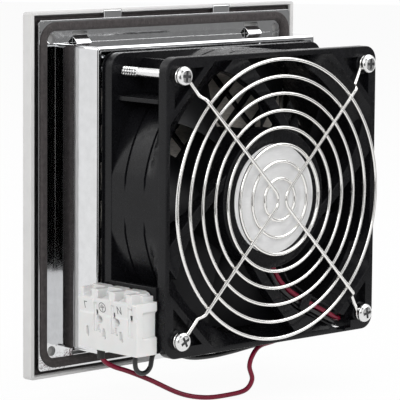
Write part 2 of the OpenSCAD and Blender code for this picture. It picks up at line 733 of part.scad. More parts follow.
module terminal_bracket() color([0.14, 0.14, 0.15]) {
    difference() {
        translate([bracket_x - bracket_t, bracket_y, term_z])
            cube([bracket_t, bracket_y1 - bracket_y, bracket_z - term_z]);
        translate([bracket_x - bracket_t - 1, bracket_y + 8, term_z - 1]) cube([bracket_t - 0.8, 10, 12]);
    }
    for (i = [0, 1]) translate([bracket_x - eps, term_y + 12.1 + i * pole_pitch, term_z + 12])
        rotate([0, 90, 0]) cylinder(h = 2.2, r = 0.9, $fn = 24);
}

function pole_y(i) = term_y + 7.2 + i * pole_pitch;

module terminal_block() color([0.93, 0.93, 0.92]) translate([term_x, 0, term_z]) difference() {
    union() {
        translate([0, term_y, 0]) rotate([90, 0, 0]) translate([0, 0, -term_len])
            linear_extrude(term_len) polygon([[0, 0], [face_x, 0], [face_x, 14], [face_x - 0.5, 14.8],
                [term_w, term_h - 3], [term_w - 0.8, term_h - 2.2], [hump_w + 0.6, term_h], [0, term_h]]);
        for (i = [0 : pole_n - 1]) translate([hump_w, term_y + 0.2 + i * (pole_pitch + 0.1), term_h])
            rotate([90, 0, -90]) linear_extrude(hump_w - 0.4) polygon([[0, -0.5], [0, 0.9], [-0.8, hump_h],
                [-pole_pitch + 2.4, hump_h], [-pole_pitch + 0.8, hump_h - 0.5], [-pole_pitch, 0.4],
                [-pole_pitch, -0.5]]);
    }
    for (i = [0 : pole_n - 1]) translate([0, pole_y(i), 0]) pole_cuts(i < pole_n - 1);
    end_cuts();
    for (i = [0, 1]) translate([-1, term_y + 12.1 + i * pole_pitch, 12]) rotate([0, 90, 0])
        cylinder(h = 3.4, r = 1, $fn = 24);
}

// Openings of one pole: channel, release slit, small slots, top pocket, wire funnel, lead hole and cavity.
module pole_cuts(funnel) {
    face_cut(1.6, 3.8 + (funnel ? 0 : 0.7), 7.6, term_h + 2, 0.9);
    face_cut(2.2, 3.3, 13.7, 15.6, 4.8);
    face_cut(2.3, 3.2, 18, 18.8, 1.6);
    face_cut(-2.1, -1.2, 5, 8, 1);
    translate([hump_w + 0.8, 0.5, term_h - 3.2]) cube([term_w - hump_w - 1.5, 5.8, 6]);
    if (funnel) {
        face_cut(4.2, 5.4, 8.2, 10.2, 0.8);
        face_cut(5, 5.8, 7.2, 8, 0.8);
        translate([face_x - 5, 5.4, 12.4]) rotate([0, 90, 0]) cylinder(h = 7, r = 0.9, $fn = 32);
        translate([face_x - 1.4, 5.4, 12.4]) rotate([0, 90, 0])
            cylinder(h = 1.5, r1 = 0.9, r2 = 1.6, $fn = 32);
    }
    translate([5.2, 0, -1]) cylinder(h = cavity_z + 2, r = lead_r + 0.2, $fn = 32);
    translate([-1, -3.6, cavity_z]) cube([cavity_x + 1 - 2.2, 7.2, 15]);
    translate([-1, -3, cavity_z]) cube([cavity_x + 1, 6, 5]);
}

// Box cut into the marked face, between two places along the block and two heights.
module face_cut(y0, y1, z0, z1, depth) {
    translate([face_x - depth, y0, z0]) cube([depth + 2, y1 - y0, z1 - z0]);
}

// Step at the top of the block's end, and the hollow neck under it.
module end_cuts() {
    translate([-1, term_y + term_len - 2.3, term_h - 2.2]) cube([term_w + 2, 3, 6]);
    translate([7.6, term_y + term_len, 0]) rotate([90, 0, -90]) linear_extrude(9)
        polygon([[-1, 6.4], [1.1, 7.4], [1.1, 16.6], [-1, 18.4]]);
}

// Leaf springs that press the wires against the bars.
module terminal_clamps() color([0.7, 0.7, 0.72]) translate([term_x, 0, term_z])
    for (i = [0 : pole_n - 1]) translate([0, pole_y(i) + 2.4, 0]) rotate([90, 0, 0]) linear_extrude(4.8)
        polygon([[bar_x, 5], [bar_x, 5.6], [1.6, 9], [1.6, 15], [4.4, 15.6], [4.6, 16.2], [1, 16], [1, 8.6]]);

module terminal_bars() color([0.8, 0.65, 0.3]) translate([term_x, 0, term_z])
    for (i = [0 : pole_n - 1]) translate([bar_x, pole_y(i) - 2.8, cavity_z])
        cube([cavity_x - bar_x, 5.6, 4.6]);

// Leads

module lead_sleeve() color([0.08, 0.08, 0.08]) translate([wire_x, red_y, term_z - sleeve_len]) difference() {
    cylinder(h = sleeve_len, r = lead_r + 0.6, $fn = 32);
    translate([0, 0, -1]) cylinder(h = sleeve_len + 2, r = lead_r + 0.05, $fn = 32);
}

module red_lead() color([0.5, 0.08, 0.2]) lead(red_route);

module black_lead() color([0.06, 0.06, 0.06]) lead(black_route);

// Cover

module front_cover() color([0.77, 0.77, 0.76]) difference() {
    union() {
        difference() {
            cover_shell();
            slab(-cover_t + cover_wall, 1) round_square(cover_w - 2 * cover_wall, cover_in_r);
            slab(-cover_t - 1, 0) square(field_w, center = true);
        }
        louvres();
        for (x = [-1, 1]) translate([x * knuckle_mid - knuckle_end / 2, hinge_y, hinge_z])
            rotate([0, 90, 0]) cylinder(h = knuckle_end, r = knuckle_r);
    }
    for (x = [-1, 1])
        translate([x * catch_at - catch_w / 2 - slack, -flange_t - slack, cover_w / 2 - cover_wall - 1])
            cube([catch_w + 2 * slack, flange_t + 2, cover_wall + 2]);
    translate([-knuckle_len / 2 - slack, hinge_y - knuckle_r - 2 * slack, -cover_w / 2 - 1])
        cube([knuckle_len + 2 * slack, 4, 1 + cover_wall + 2.2]);
    translate([-knuckle_len, hinge_y, hinge_z]) rotate([0, 90, 0])
        cylinder(h = 2 * knuckle_len, r = hinge_pin_r);
}

module cover_shell() {
    slab(-cover_t + cover_chamfer, 0) round_square(cover_w, cover_r);
    y = -cover_t + cover_chamfer;
    hull() {
        slab(y, y + 0.1) round_square(cover_w, cover_r, $fn = 32);
        slab(-cover_t, -cover_t + 0.1)
            round_square(cover_w - 2 * cover_chamfer, cover_in_r, $fn = 32);
    }
}

// Slats that shed rain, held by two upright ribs.
module louvres() {
    drop = slat_y1 - slat_y0;
    for (i = [0 : slat_n - 1])
        translate([-field_w / 2 - 0.5, 0, -field_w / 2 + (i + 0.5) * slat_pitch - drop / 2])
            rotate([90, 0, 90]) linear_extrude(field_w + 1) polygon([[slat_y0, 0], [slat_y0, slat_t],
                [slat_y1, slat_t + drop * 0.8], [slat_y1, drop * 0.8]]);
    for (x = [-1, 1]) translate([x * field_w / 6 - 0.8, slat_y1 - 2.4, -field_w / 2 - 0.5])
        cube([1.6, 2, field_w + 1]);
}

module hinge_pin() color([0.7, 0.7, 0.72])
    translate([-knuckle_len / 2 - knuckle_end, hinge_y, hinge_z]) rotate([0, 90, 0])
        cylinder(h = knuckle_len + 2 * knuckle_end, r = hinge_pin_r, $fn = 32);

base_frame();
gasket();
filter_mat();
inner_grid();
fan_housing();
bearing_tube();
front_bearing();
rear_bearing();
stator_core();
coil_bobbins();
stator_coils();
hub_disc();
guard_rings();
guard_wires();
guard_screws();
terminal_bracket();
terminal_block();
terminal_clamps();
terminal_bars();
lead_sleeve();
red_lead();
black_lead();
front_cover();
hinge_pin();
impeller();
rotor_ring();
shaft();
preload_spring();
retaining_clip();
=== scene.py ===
"""Looks of the cabinet filter fan: modelled pieces, materials, studio and camera round the CAD frame."""

import math
import random

import bmesh
import bpy
from mathutils import Matrix, Vector, noise as field


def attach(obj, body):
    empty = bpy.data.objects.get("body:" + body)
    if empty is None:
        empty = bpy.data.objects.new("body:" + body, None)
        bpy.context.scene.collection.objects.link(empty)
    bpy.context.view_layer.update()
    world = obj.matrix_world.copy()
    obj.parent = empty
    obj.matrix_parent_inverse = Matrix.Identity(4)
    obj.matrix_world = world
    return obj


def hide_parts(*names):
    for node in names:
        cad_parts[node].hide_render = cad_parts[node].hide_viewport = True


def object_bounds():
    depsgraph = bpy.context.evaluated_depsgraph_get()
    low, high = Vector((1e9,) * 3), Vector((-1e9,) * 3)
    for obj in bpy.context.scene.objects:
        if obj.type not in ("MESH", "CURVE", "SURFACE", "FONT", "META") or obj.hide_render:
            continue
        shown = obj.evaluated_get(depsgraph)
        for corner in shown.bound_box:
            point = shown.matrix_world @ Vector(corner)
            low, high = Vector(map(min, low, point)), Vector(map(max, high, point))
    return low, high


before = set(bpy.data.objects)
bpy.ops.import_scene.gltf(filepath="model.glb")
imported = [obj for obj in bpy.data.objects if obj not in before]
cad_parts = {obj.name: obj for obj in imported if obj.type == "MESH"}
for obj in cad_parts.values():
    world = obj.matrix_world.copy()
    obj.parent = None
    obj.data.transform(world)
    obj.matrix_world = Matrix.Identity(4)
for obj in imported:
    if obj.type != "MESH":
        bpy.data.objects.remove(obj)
cad_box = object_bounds()
scene = bpy.context.scene
random.seed(7)

MM = 0.001

# Sizes in millimetres, in the frame of the CAD model and as there
CORNERS = [(sx, sz) for sx in (-1, 1) for sz in (-1, 1)]
FAN_FRONT = 25.8
FAN_REAR = 63.8
FAN_HALF = 59.75
FAN_CORNER = 6
COLLAR_HALF = 62.1
COLLAR_INSIDE = 59.9
COVER_HALF = 75
COVER_INSIDE = 73.1
COVER_FRONT = -5.2
COVER_FLOOR = -3.3
LOUVRE_HALF = 56
LOUVRE_COUNT = 13
CATCH_X = 31
HINGE = (-1.5, -73.55)
KNUCKLE_R = 1.4
KNUCKLE_HALF = 8.5
SCREW_AT = 52.5
RING_PLANE = 67.2
RING_COUNT = 8
RING_FIRST = 8.6
RING_STEP = 6.9
SPOKE_PLANE = 68.65
SCREW_R = 1.95
SCREW_SEAT = 65.4
SCREW_LENGTH = 50
HEAD_R = 3.9
HEAD_HEIGHT = 2.4
CUP_FRONT = 29.8
CUP_REAR = 52.8
BLADE_COUNT = 7
HUB_R = 28.5
LEAD_R = 1.0

# The guard's wire is a little thinner than in the CAD model, so that its facets stay inside the CAD box
WIRE_R = 0.76
WIRE_SIDES = 14
# The CAD model's threads are rings; here they are helical, on this radius
THREAD_ROOT = 1.2

# Camera, fitted to the photograph
CAMERA_AT = (775.19, 835.4, 137.57)
CAMERA_TARGET = (10.01, 30.88, -2.98)
CAMERA_ROLL = 0.447
CAMERA_LENS = 244.2


def mm(*xyz):
    return Vector(xyz) * MM


# Helpers for meshes


def add_object(name, data, body, material):
    """Makes a piece that rides a body."""
    obj = bpy.data.objects.new(name, data)
    scene.collection.objects.link(obj)
    data.materials.clear()
    data.materials.append(material)
    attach(obj, body)
    return obj


def add_mesh(name, bm, body, material, sharp=35):
    """Makes a piece of a bmesh, smooth apart from edges sharper than that many degrees."""
    mesh = bpy.data.meshes.new(name)
    bmesh.ops.recalc_face_normals(bm, faces=bm.faces)
    bm.to_mesh(mesh)
    bm.free()
    mesh.shade_smooth()
    mesh.set_sharp_from_angle(angle=math.radians(sharp))
    return add_object(name, mesh, body, material)


def even_normals(obj):
    """Keeps large faces flat in the shading beside their rounded edges."""
    mod = obj.modifiers.new("even_normals", "WEIGHTED_NORMAL")
    mod.keep_sharp = True
    return obj


def merge(bm, part):
    """Adds one bmesh to another."""
    mesh = bpy.data.meshes.new("part")
    part.to_mesh(mesh)
    part.free()
    bm.from_mesh(mesh)
    bpy.data.meshes.remove(mesh)


def baked(source, *modifiers):
    """A bmesh of another one's shape after modifiers, each a kind and its settings."""
    mesh = bpy.data.meshes.new("bake")
    bmesh.ops.recalc_face_normals(source, faces=source.faces)
    source.to_mesh(mesh)
    source.free()
    obj = bpy.data.objects.new("bake", mesh)
    scene.collection.objects.link(obj)
    for kind, settings in modifiers:
        mod = obj.modifiers.new(kind, kind)
        for key, value in settings.items():
            setattr(mod, key, value)
    made = bpy.data.meshes.new_from_object(obj.evaluated_get(bpy.context.evaluated_depsgraph_get()))
    bpy.data.objects.remove(obj)
    bpy.data.meshes.remove(mesh)
    result = bmesh.new()
    result.from_mesh(made)
    bpy.data.meshes.remove(made)
    return result


def carve(bm, tool):
    """The first bmesh with the closed solids of the second cut out of it."""
    mesh = bpy.data.meshes.new("tool")
    bmesh.ops.recalc_face_normals(tool, faces=tool.faces)
    tool.to_mesh(mesh)
    tool.free()
    obj = bpy.data.objects.new("tool", mesh)
    scene.collection.objects.link(obj)
    result = baked(bm, ("BOOLEAN", {"object": obj, "operation": "DIFFERENCE", "solver": "EXACT"}))
    bpy.data.objects.remove(obj)
    bpy.data.meshes.remove(mesh)
    return result


def skin(bm, loops, closed=False):
    """Joins loops of points by faces, and the last loop to the first if closed."""
    for a, b in zip(loops, loops[1:] + loops[:1] if closed else loops[1:]):
        for k in range(len(a)):
            q = (k + 1) % len(a)
            bm.faces.new((a[k], a[q], b[q], b[k]))


def add_prism(bm, outline, low, high, edge=0.0, axis="x"):
    """Adds an outline of (y, z) points pulled along X, or of (x, z) points along Y; millimetres."""
    part = bmesh.new()
    ends = []
    for at in (low, high):
        points = [(at, p, q) if axis == "x" else (p, at, q) for p, q in outline]
        ends.append([part.verts.new(mm(*point)) for point in points])
    part.faces.new(ends[0])
    part.faces.new(ends[1])
    skin(part, ends)
    bmesh.ops.recalc_face_normals(part, faces=part.faces)
    if edge:
        sharp = [e for e in part.edges if e.calc_face_angle(0) > 0.5]
        bmesh.ops.bevel(part, geom=sharp, offset=edge * MM, segments=2, profile=0.5, affect="EDGES")
    merge(bm, part)


def add_block(bm, low, high, edge=0.0):
    """Adds a block between two corners, in millimetres."""
    (x0, y0, z0), (x1, y1, z1) = low, high
    add_prism(bm, [(y0, z0), (y1, z0), (y1, z1), (y0, z1)], x0, x1, edge)


def circle(y, z, radius, count=24):
    """Points of (y, z) round a circle."""
    turns = [math.radians(360 * k / count) for k in range(count)]
    return [(y + radius * math.cos(a), z + radius * math.sin(a)) for a in turns]


def rounded(outline, steps=4):
    """Rounds a closed outline of (half, y, fillet, plan radius) points to (half, y, plan radius) stations."""
    stations = []
    for i, (half, y, fillet, plan) in enumerate(outline):
        here = Vector((half, y))
        before = (Vector(outline[i - 1][:2]) - here).normalized()
        after = (Vector(outline[(i + 1) % len(outline)][:2]) - here).normalized()
        turn = before.angle(after)
        centre = here + (before + after).normalized() * (fillet / math.sin(turn / 2))
        first, last = (here + d * (fillet / math.tan(turn / 2)) - centre for d in (before, after))
        for k in range(steps + 1):
            point = centre + first.slerp(last, k / steps) * fillet
            stations.append((point.x, point.y, max(plan + point.x - half, 0.05)))
    return stations


def add_ring(bm, stations, steps=10):
    """Adds a closed square ring with rounded corners from (half, y, plan radius) stations, in millimetres."""
    loops = []
    for half, y, plan in stations:
        loop = []
        for c in range(4):
            sx, sz = ((1, 1), (-1, 1), (-1, -1), (1, -1))[c]
            for k in range(steps + 1):
                a = math.radians(90 * c + 90 * k / steps)
                loop.append(bm.verts.new(mm(sx * (half - plan) + plan * math.cos(a), y,
                                            sz * (half - plan) + plan * math.sin(a))))
        loops.append(loop)
    skin(bm, loops, True)


def sweep(bm, points, radius, sides, closed=False):
    """Adds a round tube along points."""
    count = len(points)
    rings = []
    normal = None
    for i, p in enumerate(points):
        ahead = points[(i + 1) % count] if closed or i + 1 < count else p
        behind = points[i - 1] if closed or i else p
        heading = (ahead - behind).normalized()
        if normal is None:
            normal = heading.orthogonal()
        normal = (normal - heading * normal.dot(heading)).normalized()
        across = heading.cross(normal)
        turns = [2 * math.pi * k / sides for k in range(sides)]
        rings.append([bm.verts.new(p + radius * (math.cos(a) * normal + math.sin(a) * across))
                      for a in turns])
    skin(bm, rings, closed)
    if not closed:
        bm.faces.new(rings[0])
        bm.faces.new(rings[-1])


def lathe(bm, profile, steps, at=(0, 0)):
    """Adds a solid of revolution about an axis along Y from (radius, y) points; a radius of 0 closes it."""
    rings = []
    for r, y in profile:
        turns = [2 * math.pi * k / steps for k in range(steps if r else 1)]
        rings.append([bm.verts.new(mm(at[0] + r * math.cos(a), y, at[1] + r * math.sin(a))) for a in turns])
    for a, b in zip(rings, rings[1:]):
        for k in range(steps):
            q = (k + 1) % steps
            corners = [a[k % len(a)], a[q % len(a)], b[q % len(b)], b[k % len(b)]]
            bm.faces.new(list(dict.fromkeys(corners)))


def smooth_path(route, steps=6):
    """Points of a smooth curve through a route."""
    points = []
    last = len(route) - 1
    for i in range(last):
        a, b, c, d = (route[max(i - 1, 0)], route[i], route[i + 1], route[min(i + 2, last)])
        for k in range(steps):
            t = k / steps
            points.append(0.5 * (2 * b + (c - a) * t + (2 * a - 5 * b + 4 * c - d) * t * t
                                 + (3 * b - a - 3 * c + d) * t ** 3))
    points.append(route[last])
    return points


# Helpers for materials


def new_material(name):
    mat = bpy.data.materials.new(name)
    mat.use_nodes = True
    tree = mat.node_tree
    return mat, tree, tree.nodes["Principled BSDF"]


def add_node(tree, kind, inputs=None, **settings):
    made = tree.nodes.new("ShaderNode" + kind)
    for key, value in settings.items():
        setattr(made, key, value)
    for key, value in (inputs or {}).items():
        made.inputs[key].default_value = value
    return made


def noise(tree, scale, detail, stretch=(1, 1, 1)):
    """Noise in the object's own frame; scale is in features per metre."""
    place = add_node(tree, "TexCoord")
    mapping = add_node(tree, "Mapping", {"Scale": stretch})
    made = add_node(tree, "TexNoise", {"Scale": scale, "Detail": detail})
    tree.links.new(place.outputs["Object"], mapping.inputs["Vector"])
    tree.links.new(mapping.outputs["Vector"], made.inputs["Vector"])
    return made.outputs["Fac"]


def cells(tree, scale):
    """Distance from the centres of cells; scale is in cells per metre."""
    place = add_node(tree, "TexCoord")
    made = add_node(tree, "TexVoronoi", {"Scale": scale})
    tree.links.new(place.outputs["Object"], made.inputs["Vector"])
    return made.outputs["Distance"]


def spread(tree, value, low, high):
    """Stretches a noise value over a range."""
    made = add_node(tree, "MapRange", {"From Min": 0.3, "From Max": 0.7, "To Min": low, "To Max": high})
    tree.links.new(value, made.inputs["Value"])
    return made.outputs["Result"]


def tint(tree, value, first, second):
    """Mixes two colours by a value."""
    made = add_node(tree, "Mix", data_type="RGBA")
    made.inputs["A"].default_value = (*first, 1)
    made.inputs["B"].default_value = (*second, 1)
    tree.links.new(value, made.inputs["Factor"])
    return made.outputs["Result"]


def relief(tree, height, depth, below=None):
    """Bump of that depth in millimetres, over another one if given."""
    made = add_node(tree, "Bump", {"Strength": 1.0, "Distance": depth * MM})
    tree.links.new(height, made.inputs["Height"])
    if below:
        tree.links.new(below, made.inputs["Normal"])
    return made.outputs["Normal"]


def shade(color, factor):
    return tuple(min(c * factor, 1) for c in color)


def plastic(name, color, roughness, grain=2600, depth=0.012, mottle=0.08, **sockets):
    """Moulded plastic: fine spark-eroded grain, slow sink waves and a little unevenness of colour."""
    mat, tree, bsdf = new_material(name)
    patches = spread(tree, noise(tree, 140, 5), 0, 1)
    tree.links.new(tint(tree, patches, shade(color, 1 - mottle), shade(color, 1 + mottle)),
                   bsdf.inputs["Base Color"])
    tree.links.new(spread(tree, noise(tree, 420, 4), roughness - 0.05, roughness + 0.06),
                   bsdf.inputs["Roughness"])
    waves = relief(tree, noise(tree, 55, 1), 0.03)
    tree.links.new(relief(tree, noise(tree, grain, 2), depth, waves), bsdf.inputs["Normal"])
    for key, value in sockets.items():
        bsdf.inputs[key.replace("_", " ")].default_value = value
    return mat


def metal(name, color, roughness, stretch=(1, 1, 1), scale=700, depth=0.006, wave=0.0):
    """Metal with fine drawn or ground marks, and slow waves where asked."""
    mat, tree, bsdf = new_material(name)
    bsdf.inputs["Metallic"].default_value = 1.0
    marks = noise(tree, scale, 4, stretch)
    tree.links.new(tint(tree, spread(tree, marks, 0, 1), shade(color, 0.93), color),
                   bsdf.inputs["Base Color"])
    tree.links.new(spread(tree, noise(tree, 260, 3), roughness * 0.7, roughness * 1.35),
                   bsdf.inputs["Roughness"])
    below = relief(tree, noise(tree, 70, 2), wave) if wave else None
    tree.links.new(relief(tree, marks, depth, below), bsdf.inputs["Normal"])
    return mat


def combine(tree, operation, *values):
    """Result of a Math node on one or two values."""
    made = add_node(tree, "Math", operation=operation)
    for k, value in enumerate(values):
        tree.links.new(value, made.inputs[k])
    return made.outputs[0]


def add_wrinkles(mat, depth):
    """Adds fine wrinkles in the coat at the corners of the flange, of that depth in millimetres."""
    tree = mat.node_tree
    bsdf = tree.nodes["Principled BSDF"]
    below = bsdf.inputs["Normal"].links[0].from_socket
    place = add_node(tree, "TexCoord")
    split = add_node(tree, "SeparateXYZ")
    tree.links.new(place.outputs["Object"], split.inputs["Vector"])
    # X times Z, in square metres, is large only at the corners; the collar above the flange stays smooth
    product = combine(tree, "ABSOLUTE", combine(tree, "MULTIPLY", split.outputs["X"], split.outputs["Z"]))
    corner = add_node(tree, "MapRange", {"From Min": 0.0033, "From Max": 0.0042})
    tree.links.new(product, corner.inputs["Value"])
    level = add_node(tree, "MapRange", {"From Min": 0.004, "From Max": 0.0015})
    tree.links.new(split.outputs["Y"], level.inputs["Value"])
    share = combine(tree, "MULTIPLY", corner.outputs["Result"], level.outputs["Result"])
    height = combine(tree, "MULTIPLY", share, noise(tree, 620, 2))
    tree.links.new(relief(tree, height, depth, below), bsdf.inputs["Normal"])


def foam(name, color):
    """Closed-cell foam: pits of several sizes and a dusty, uneven colour."""
    mat, tree, bsdf = new_material(name)
    patches = spread(tree, noise(tree, 500, 6), 0, 1)
    tree.links.new(tint(tree, patches, shade(color, 0.75), shade(color, 1.3)), bsdf.inputs["Base Color"])
    bsdf.inputs["Roughness"].default_value = 0.9
    pits = relief(tree, cells(tree, 1500), 0.25)
    tree.links.new(relief(tree, cells(tree, 3600), 0.08, pits), bsdf.inputs["Normal"])
    return mat


def fibres(name, color):
    """Non-woven fibre mat."""
    mat, tree, bsdf = new_material(name)
    strands = noise(tree, 500, 8, (1, 1, 5))
    tree.links.new(tint(tree, spread(tree, strands, 0, 1), shade(color, 0.72), shade(color, 1.1)),
                   bsdf.inputs["Base Color"])
    bsdf.inputs["Roughness"].default_value = 0.95
    lumps = relief(tree, noise(tree, 160, 4), 0.6)
    tree.links.new(relief(tree, noise(tree, 900, 6, (6, 1, 1)), 0.3, lumps), bsdf.inputs["Normal"])
    return mat


METALLISED = metal("metallised_plastic", (0.74, 0.745, 0.755), 0.05, scale=260, depth=0.004, wave=0.03)
add_wrinkles(METALLISED, 0.1)
# Dark foam of the gasket; the same material is the painted shade strip in the gap between the cover's rim and
# the flange
GASKET_FOAM_AND_GAP_SHADE = foam("gasket_foam_and_gap_shade", (0.046, 0.040, 0.040))
MAT_FIBRE = fibres("filter_fibre", (0.8, 0.75, 0.69))
BLACK_PLASTIC = plastic("black_plastic", (0.0052, 0.0052, 0.0062), 0.27, mottle=0.2, Specular_IOR_Level=0.2)
BLADE_PLASTIC = plastic("blade_plastic", (0.006, 0.006, 0.007), 0.42, mottle=0.2, Specular_IOR_Level=0.2)
GREY_PLASTIC = plastic("grey_plastic", (0.60, 0.595, 0.59), 0.42, depth=0.02, mottle=0.03)
WHITE_PLASTIC = plastic("white_plastic", (0.671, 0.671, 0.666), 0.38, mottle=0.025, Subsurface_Weight=0.08,
                        Subsurface_Scale=0.002)
CREAM_PLASTIC = plastic("cream_plastic", (0.78, 0.72, 0.58), 0.45, mottle=0.05)
RUBBER = plastic("black_rubber", (0.012, 0.012, 0.012), 0.6, grain=1800, depth=0.03)
RED_PVC = plastic("red_pvc", (0.16, 0.004, 0.022), 0.3, depth=0.006, mottle=0.12, Specular_IOR_Level=0.3)
BLACK_PVC = plastic("black_pvc", (0.008, 0.008, 0.009), 0.34, depth=0.006)
# Dark print for the block's marks; the same material is the painted shade in the screw recesses and the
# block's slits
PRINT_AND_SHADE = plastic("print_and_painted_shade", (0.03, 0.03, 0.032), 0.6)
WIRE_NICKEL = metal("nickel_wire", (0.9, 0.89, 0.87), 0.12, scale=900, depth=0.01)
SCREW_ZINC = metal("screw_zinc", (0.80, 0.80, 0.80), 0.2, scale=1200, depth=0.012)
LABEL_FILM = metal("label_film", (0.82, 0.82, 0.825), 0.5, (1, 1, 14), 380, 0.006, 0.03)
LABEL_FILM.node_tree.nodes["Principled BSDF"].inputs["Metallic"].default_value = 0.4
STEEL = metal("ground_steel", (0.62, 0.62, 0.64), 0.25, (6, 1, 6), 900)
CORE_STEEL = metal("laminated_steel", (0.38, 0.38, 0.4), 0.4, (1, 12, 1), 300, 0.05)
BRASS = metal("brass", (0.75, 0.56, 0.25), 0.24)
COPPER = metal("enamelled_copper", (0.62, 0.27, 0.12), 0.3, (1, 9, 1), 700, 0.08)

# Leads: route points in millimetres, as in the CAD model, with the red lead's lowest ones a hair higher

TRAY = 61.9
BOBBIN = 53.5
RED_Y = 33.0
BLACK_Y = 53.3
BLOCK_FOOT = -57.5
BLOCK_WIRE_X = 66.0
WIRE_END = -54.5

RED_ROUTE = [
    (2, BOBBIN, -17), (2, BOBBIN + 2.2, -17.6), (1.6, TRAY - 2.6, -20.2), (0.4, TRAY - 0.6, -24.4),
    (-2, TRAY, -29), (-6, TRAY, -34.6), (-11, TRAY, -38.8), (-17, TRAY, -42.4), (-27, TRAY, -47.4),
    (-35, TRAY, -51.3), (-40, TRAY - 0.9, -53.6), (-42.6, TRAY - 1.8, -54.3), (-44.2, TRAY - 3.9, -54.8),
    (-44.2, TRAY - 6.6, -55.2), (-42.6, TRAY - 8.7, -55.8), (-39.6, TRAY - 9.6, -56.7),
    (-33, TRAY - 9.4, -58.4), (-22, TRAY - 9, -60.4), (-10, TRAY - 8.2, -61.5), (-2, 54.6, -62.3),
    (2.6, 55.2, -65.4), (4.4, 55.2, -70), (3.2, 55.6, -75.4), (6, 54.6, -79.6), (13, 52, -81.1),
    (23, 48.4, -81.46), (33.4, 44.7, -79), (46, 40.2, -72.4), (55, 37, -68.2), (60.6, 35, -66),
    (64.4, 33.6, -63.6), (BLOCK_WIRE_X, RED_Y, BLOCK_FOOT - 3.4), (BLOCK_WIRE_X, RED_Y, BLOCK_FOOT - 0.6),
    (BLOCK_WIRE_X, RED_Y, WIRE_END)]
BLACK_ROUTE = [
    (4.4, BOBBIN, -17), (4.4, BOBBIN + 2.2, -17.6), (4, TRAY - 2.6, -20.4), (2.6, TRAY - 0.6, -25),
    (0, TRAY, -30.2), (-4.2, TRAY, -36), (-9.6, TRAY, -40.6), (-16, TRAY, -44.5), (-26, TRAY, -49.6),
    (-34, TRAY, -53.5), (-38.6, TRAY - 1, -55.6), (-41.6, TRAY - 3, -56.8), (-43, TRAY - 6.4, -57.6),
    (-41.4, TRAY - 9.6, -58.4), (-37.6, TRAY - 11.4, -59.2), (-31, TRAY - 11.8, -60.2),
    (-22, TRAY - 11.8, -61.4), (-10, TRAY - 11, -61.9), (2, 52, -62.4), (12, 52.8, -63), (23, 53.2, -63.4),
    (33, 53.2, -63), (40, 53.2, -61.5), (45.6, 53.2, -59.1), (49.6, 53.2, -57.6), (52.6, 53.2, -57.2),
    (55, 53.2, -57.8), (56.6, 53.2, -59.4), (57.2, 53.2, -61.5), (57.8, 53.2, -63.7), (59.4, 53.2, -65.3),
    (61.6, 53.2, -65.9), (63.8, 53.2, -65.3), (65.4, 53.2, -63.7), (BLOCK_WIRE_X, BLACK_Y, BLOCK_FOOT - 4),
    (BLOCK_WIRE_X, BLACK_Y, BLOCK_FOOT - 1), (BLOCK_WIRE_X, BLACK_Y, WIRE_END)]


def make_lead(name, node, route, material):
    """A lead along a route, as a round tube."""
    points = smooth_path([mm(*p) for p in route])
    data = bpy.data.curves.new(name, "CURVE")
    data.dimensions = "3D"
    data.bevel_depth = LEAD_R * MM
    data.bevel_resolution = 4
    data.use_fill_caps = True
    spline = data.splines.new("POLY")
    spline.points.add(len(points) - 1)
    for point, p in zip(spline.points, points):
        point.co = (*p, 1)
    lead = add_object(name, data, "base", material)
    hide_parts(node)


# Guard and screws


def on_diagonal(distance, y):
    """Point on the diagonal of the fan's face at that distance from its axis."""
    return Vector((distance / math.sqrt(2), y, distance / math.sqrt(2)))


def guard_half_wire():
    """Centre line of half a V-bent wire: its point, the diagonal run, the kink and the screw's eye."""
    apex_r, kink_from, kink_to = 5.5, 60, 63
    eye_r, eye_plane, eye_start, eye_sweep = SCREW_R + WIRE_R + 0.15, FAN_REAR + WIRE_R, 195, 290
    leg_plane = eye_plane + 1.5
    apex_steps, run_steps, kink_steps, eye_steps = 12, 8, 8, 40
    points = []
    for i in range(apex_steps + 1):
        a = math.radians(180 - 45 * i / apex_steps)
        points.append(Vector((apex_r * (math.sqrt(2) + math.cos(a)), SPOKE_PLANE, apex_r * math.sin(a))))
    for i in range(1, run_steps + 1):
        points.append(on_diagonal(apex_r + (kink_from - 0.5 - apex_r) * i / run_steps, SPOKE_PLANE))
    for i in range(kink_steps + 1):
        t = i / kink_steps
        ease = t * t * (3 - 2 * t)
        points.append(on_diagonal(kink_from + (kink_to - kink_from) * t,
                                  SPOKE_PLANE + (leg_plane - SPOKE_PLANE) * ease))
    for i in range(eye_steps + 1):
        a = math.radians(eye_start - eye_sweep * i / eye_steps)
        points.append(Vector((SCREW_AT + eye_r * math.cos(a), eye_plane, SCREW_AT + eye_r * math.sin(a))))
    return points


def make_guard():
    """Guard of rings and two V-bent wires."""
    bm = bmesh.new()
    for i in range(RING_COUNT):
        r = RING_FIRST + i * RING_STEP
        steps = 48 + 16 * i
        turns = [2 * math.pi * k / steps for k in range(steps)]
        sweep(bm, [mm(r * math.cos(a), RING_PLANE, r * math.sin(a)) for a in turns], WIRE_R * MM, WIRE_SIDES,
              closed=True)
    rings = add_mesh("guard_ring_wires", bm, "base", WIRE_NICKEL)
    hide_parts("guard_rings")
    half = guard_half_wire()
    mirrored = [Vector((p.x, p.y, -p.z)) for p in half]
    path = list(reversed(half[1:])) + mirrored
    bm = bmesh.new()
    for side in (1, -1):
        sweep(bm, [mm(side * p.x, p.y, p.z) for p in path], WIRE_R * MM, WIRE_SIDES)
    wires = add_mesh("guard_spoke_wires", bm, "base", WIRE_NICKEL)
    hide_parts("guard_wires")


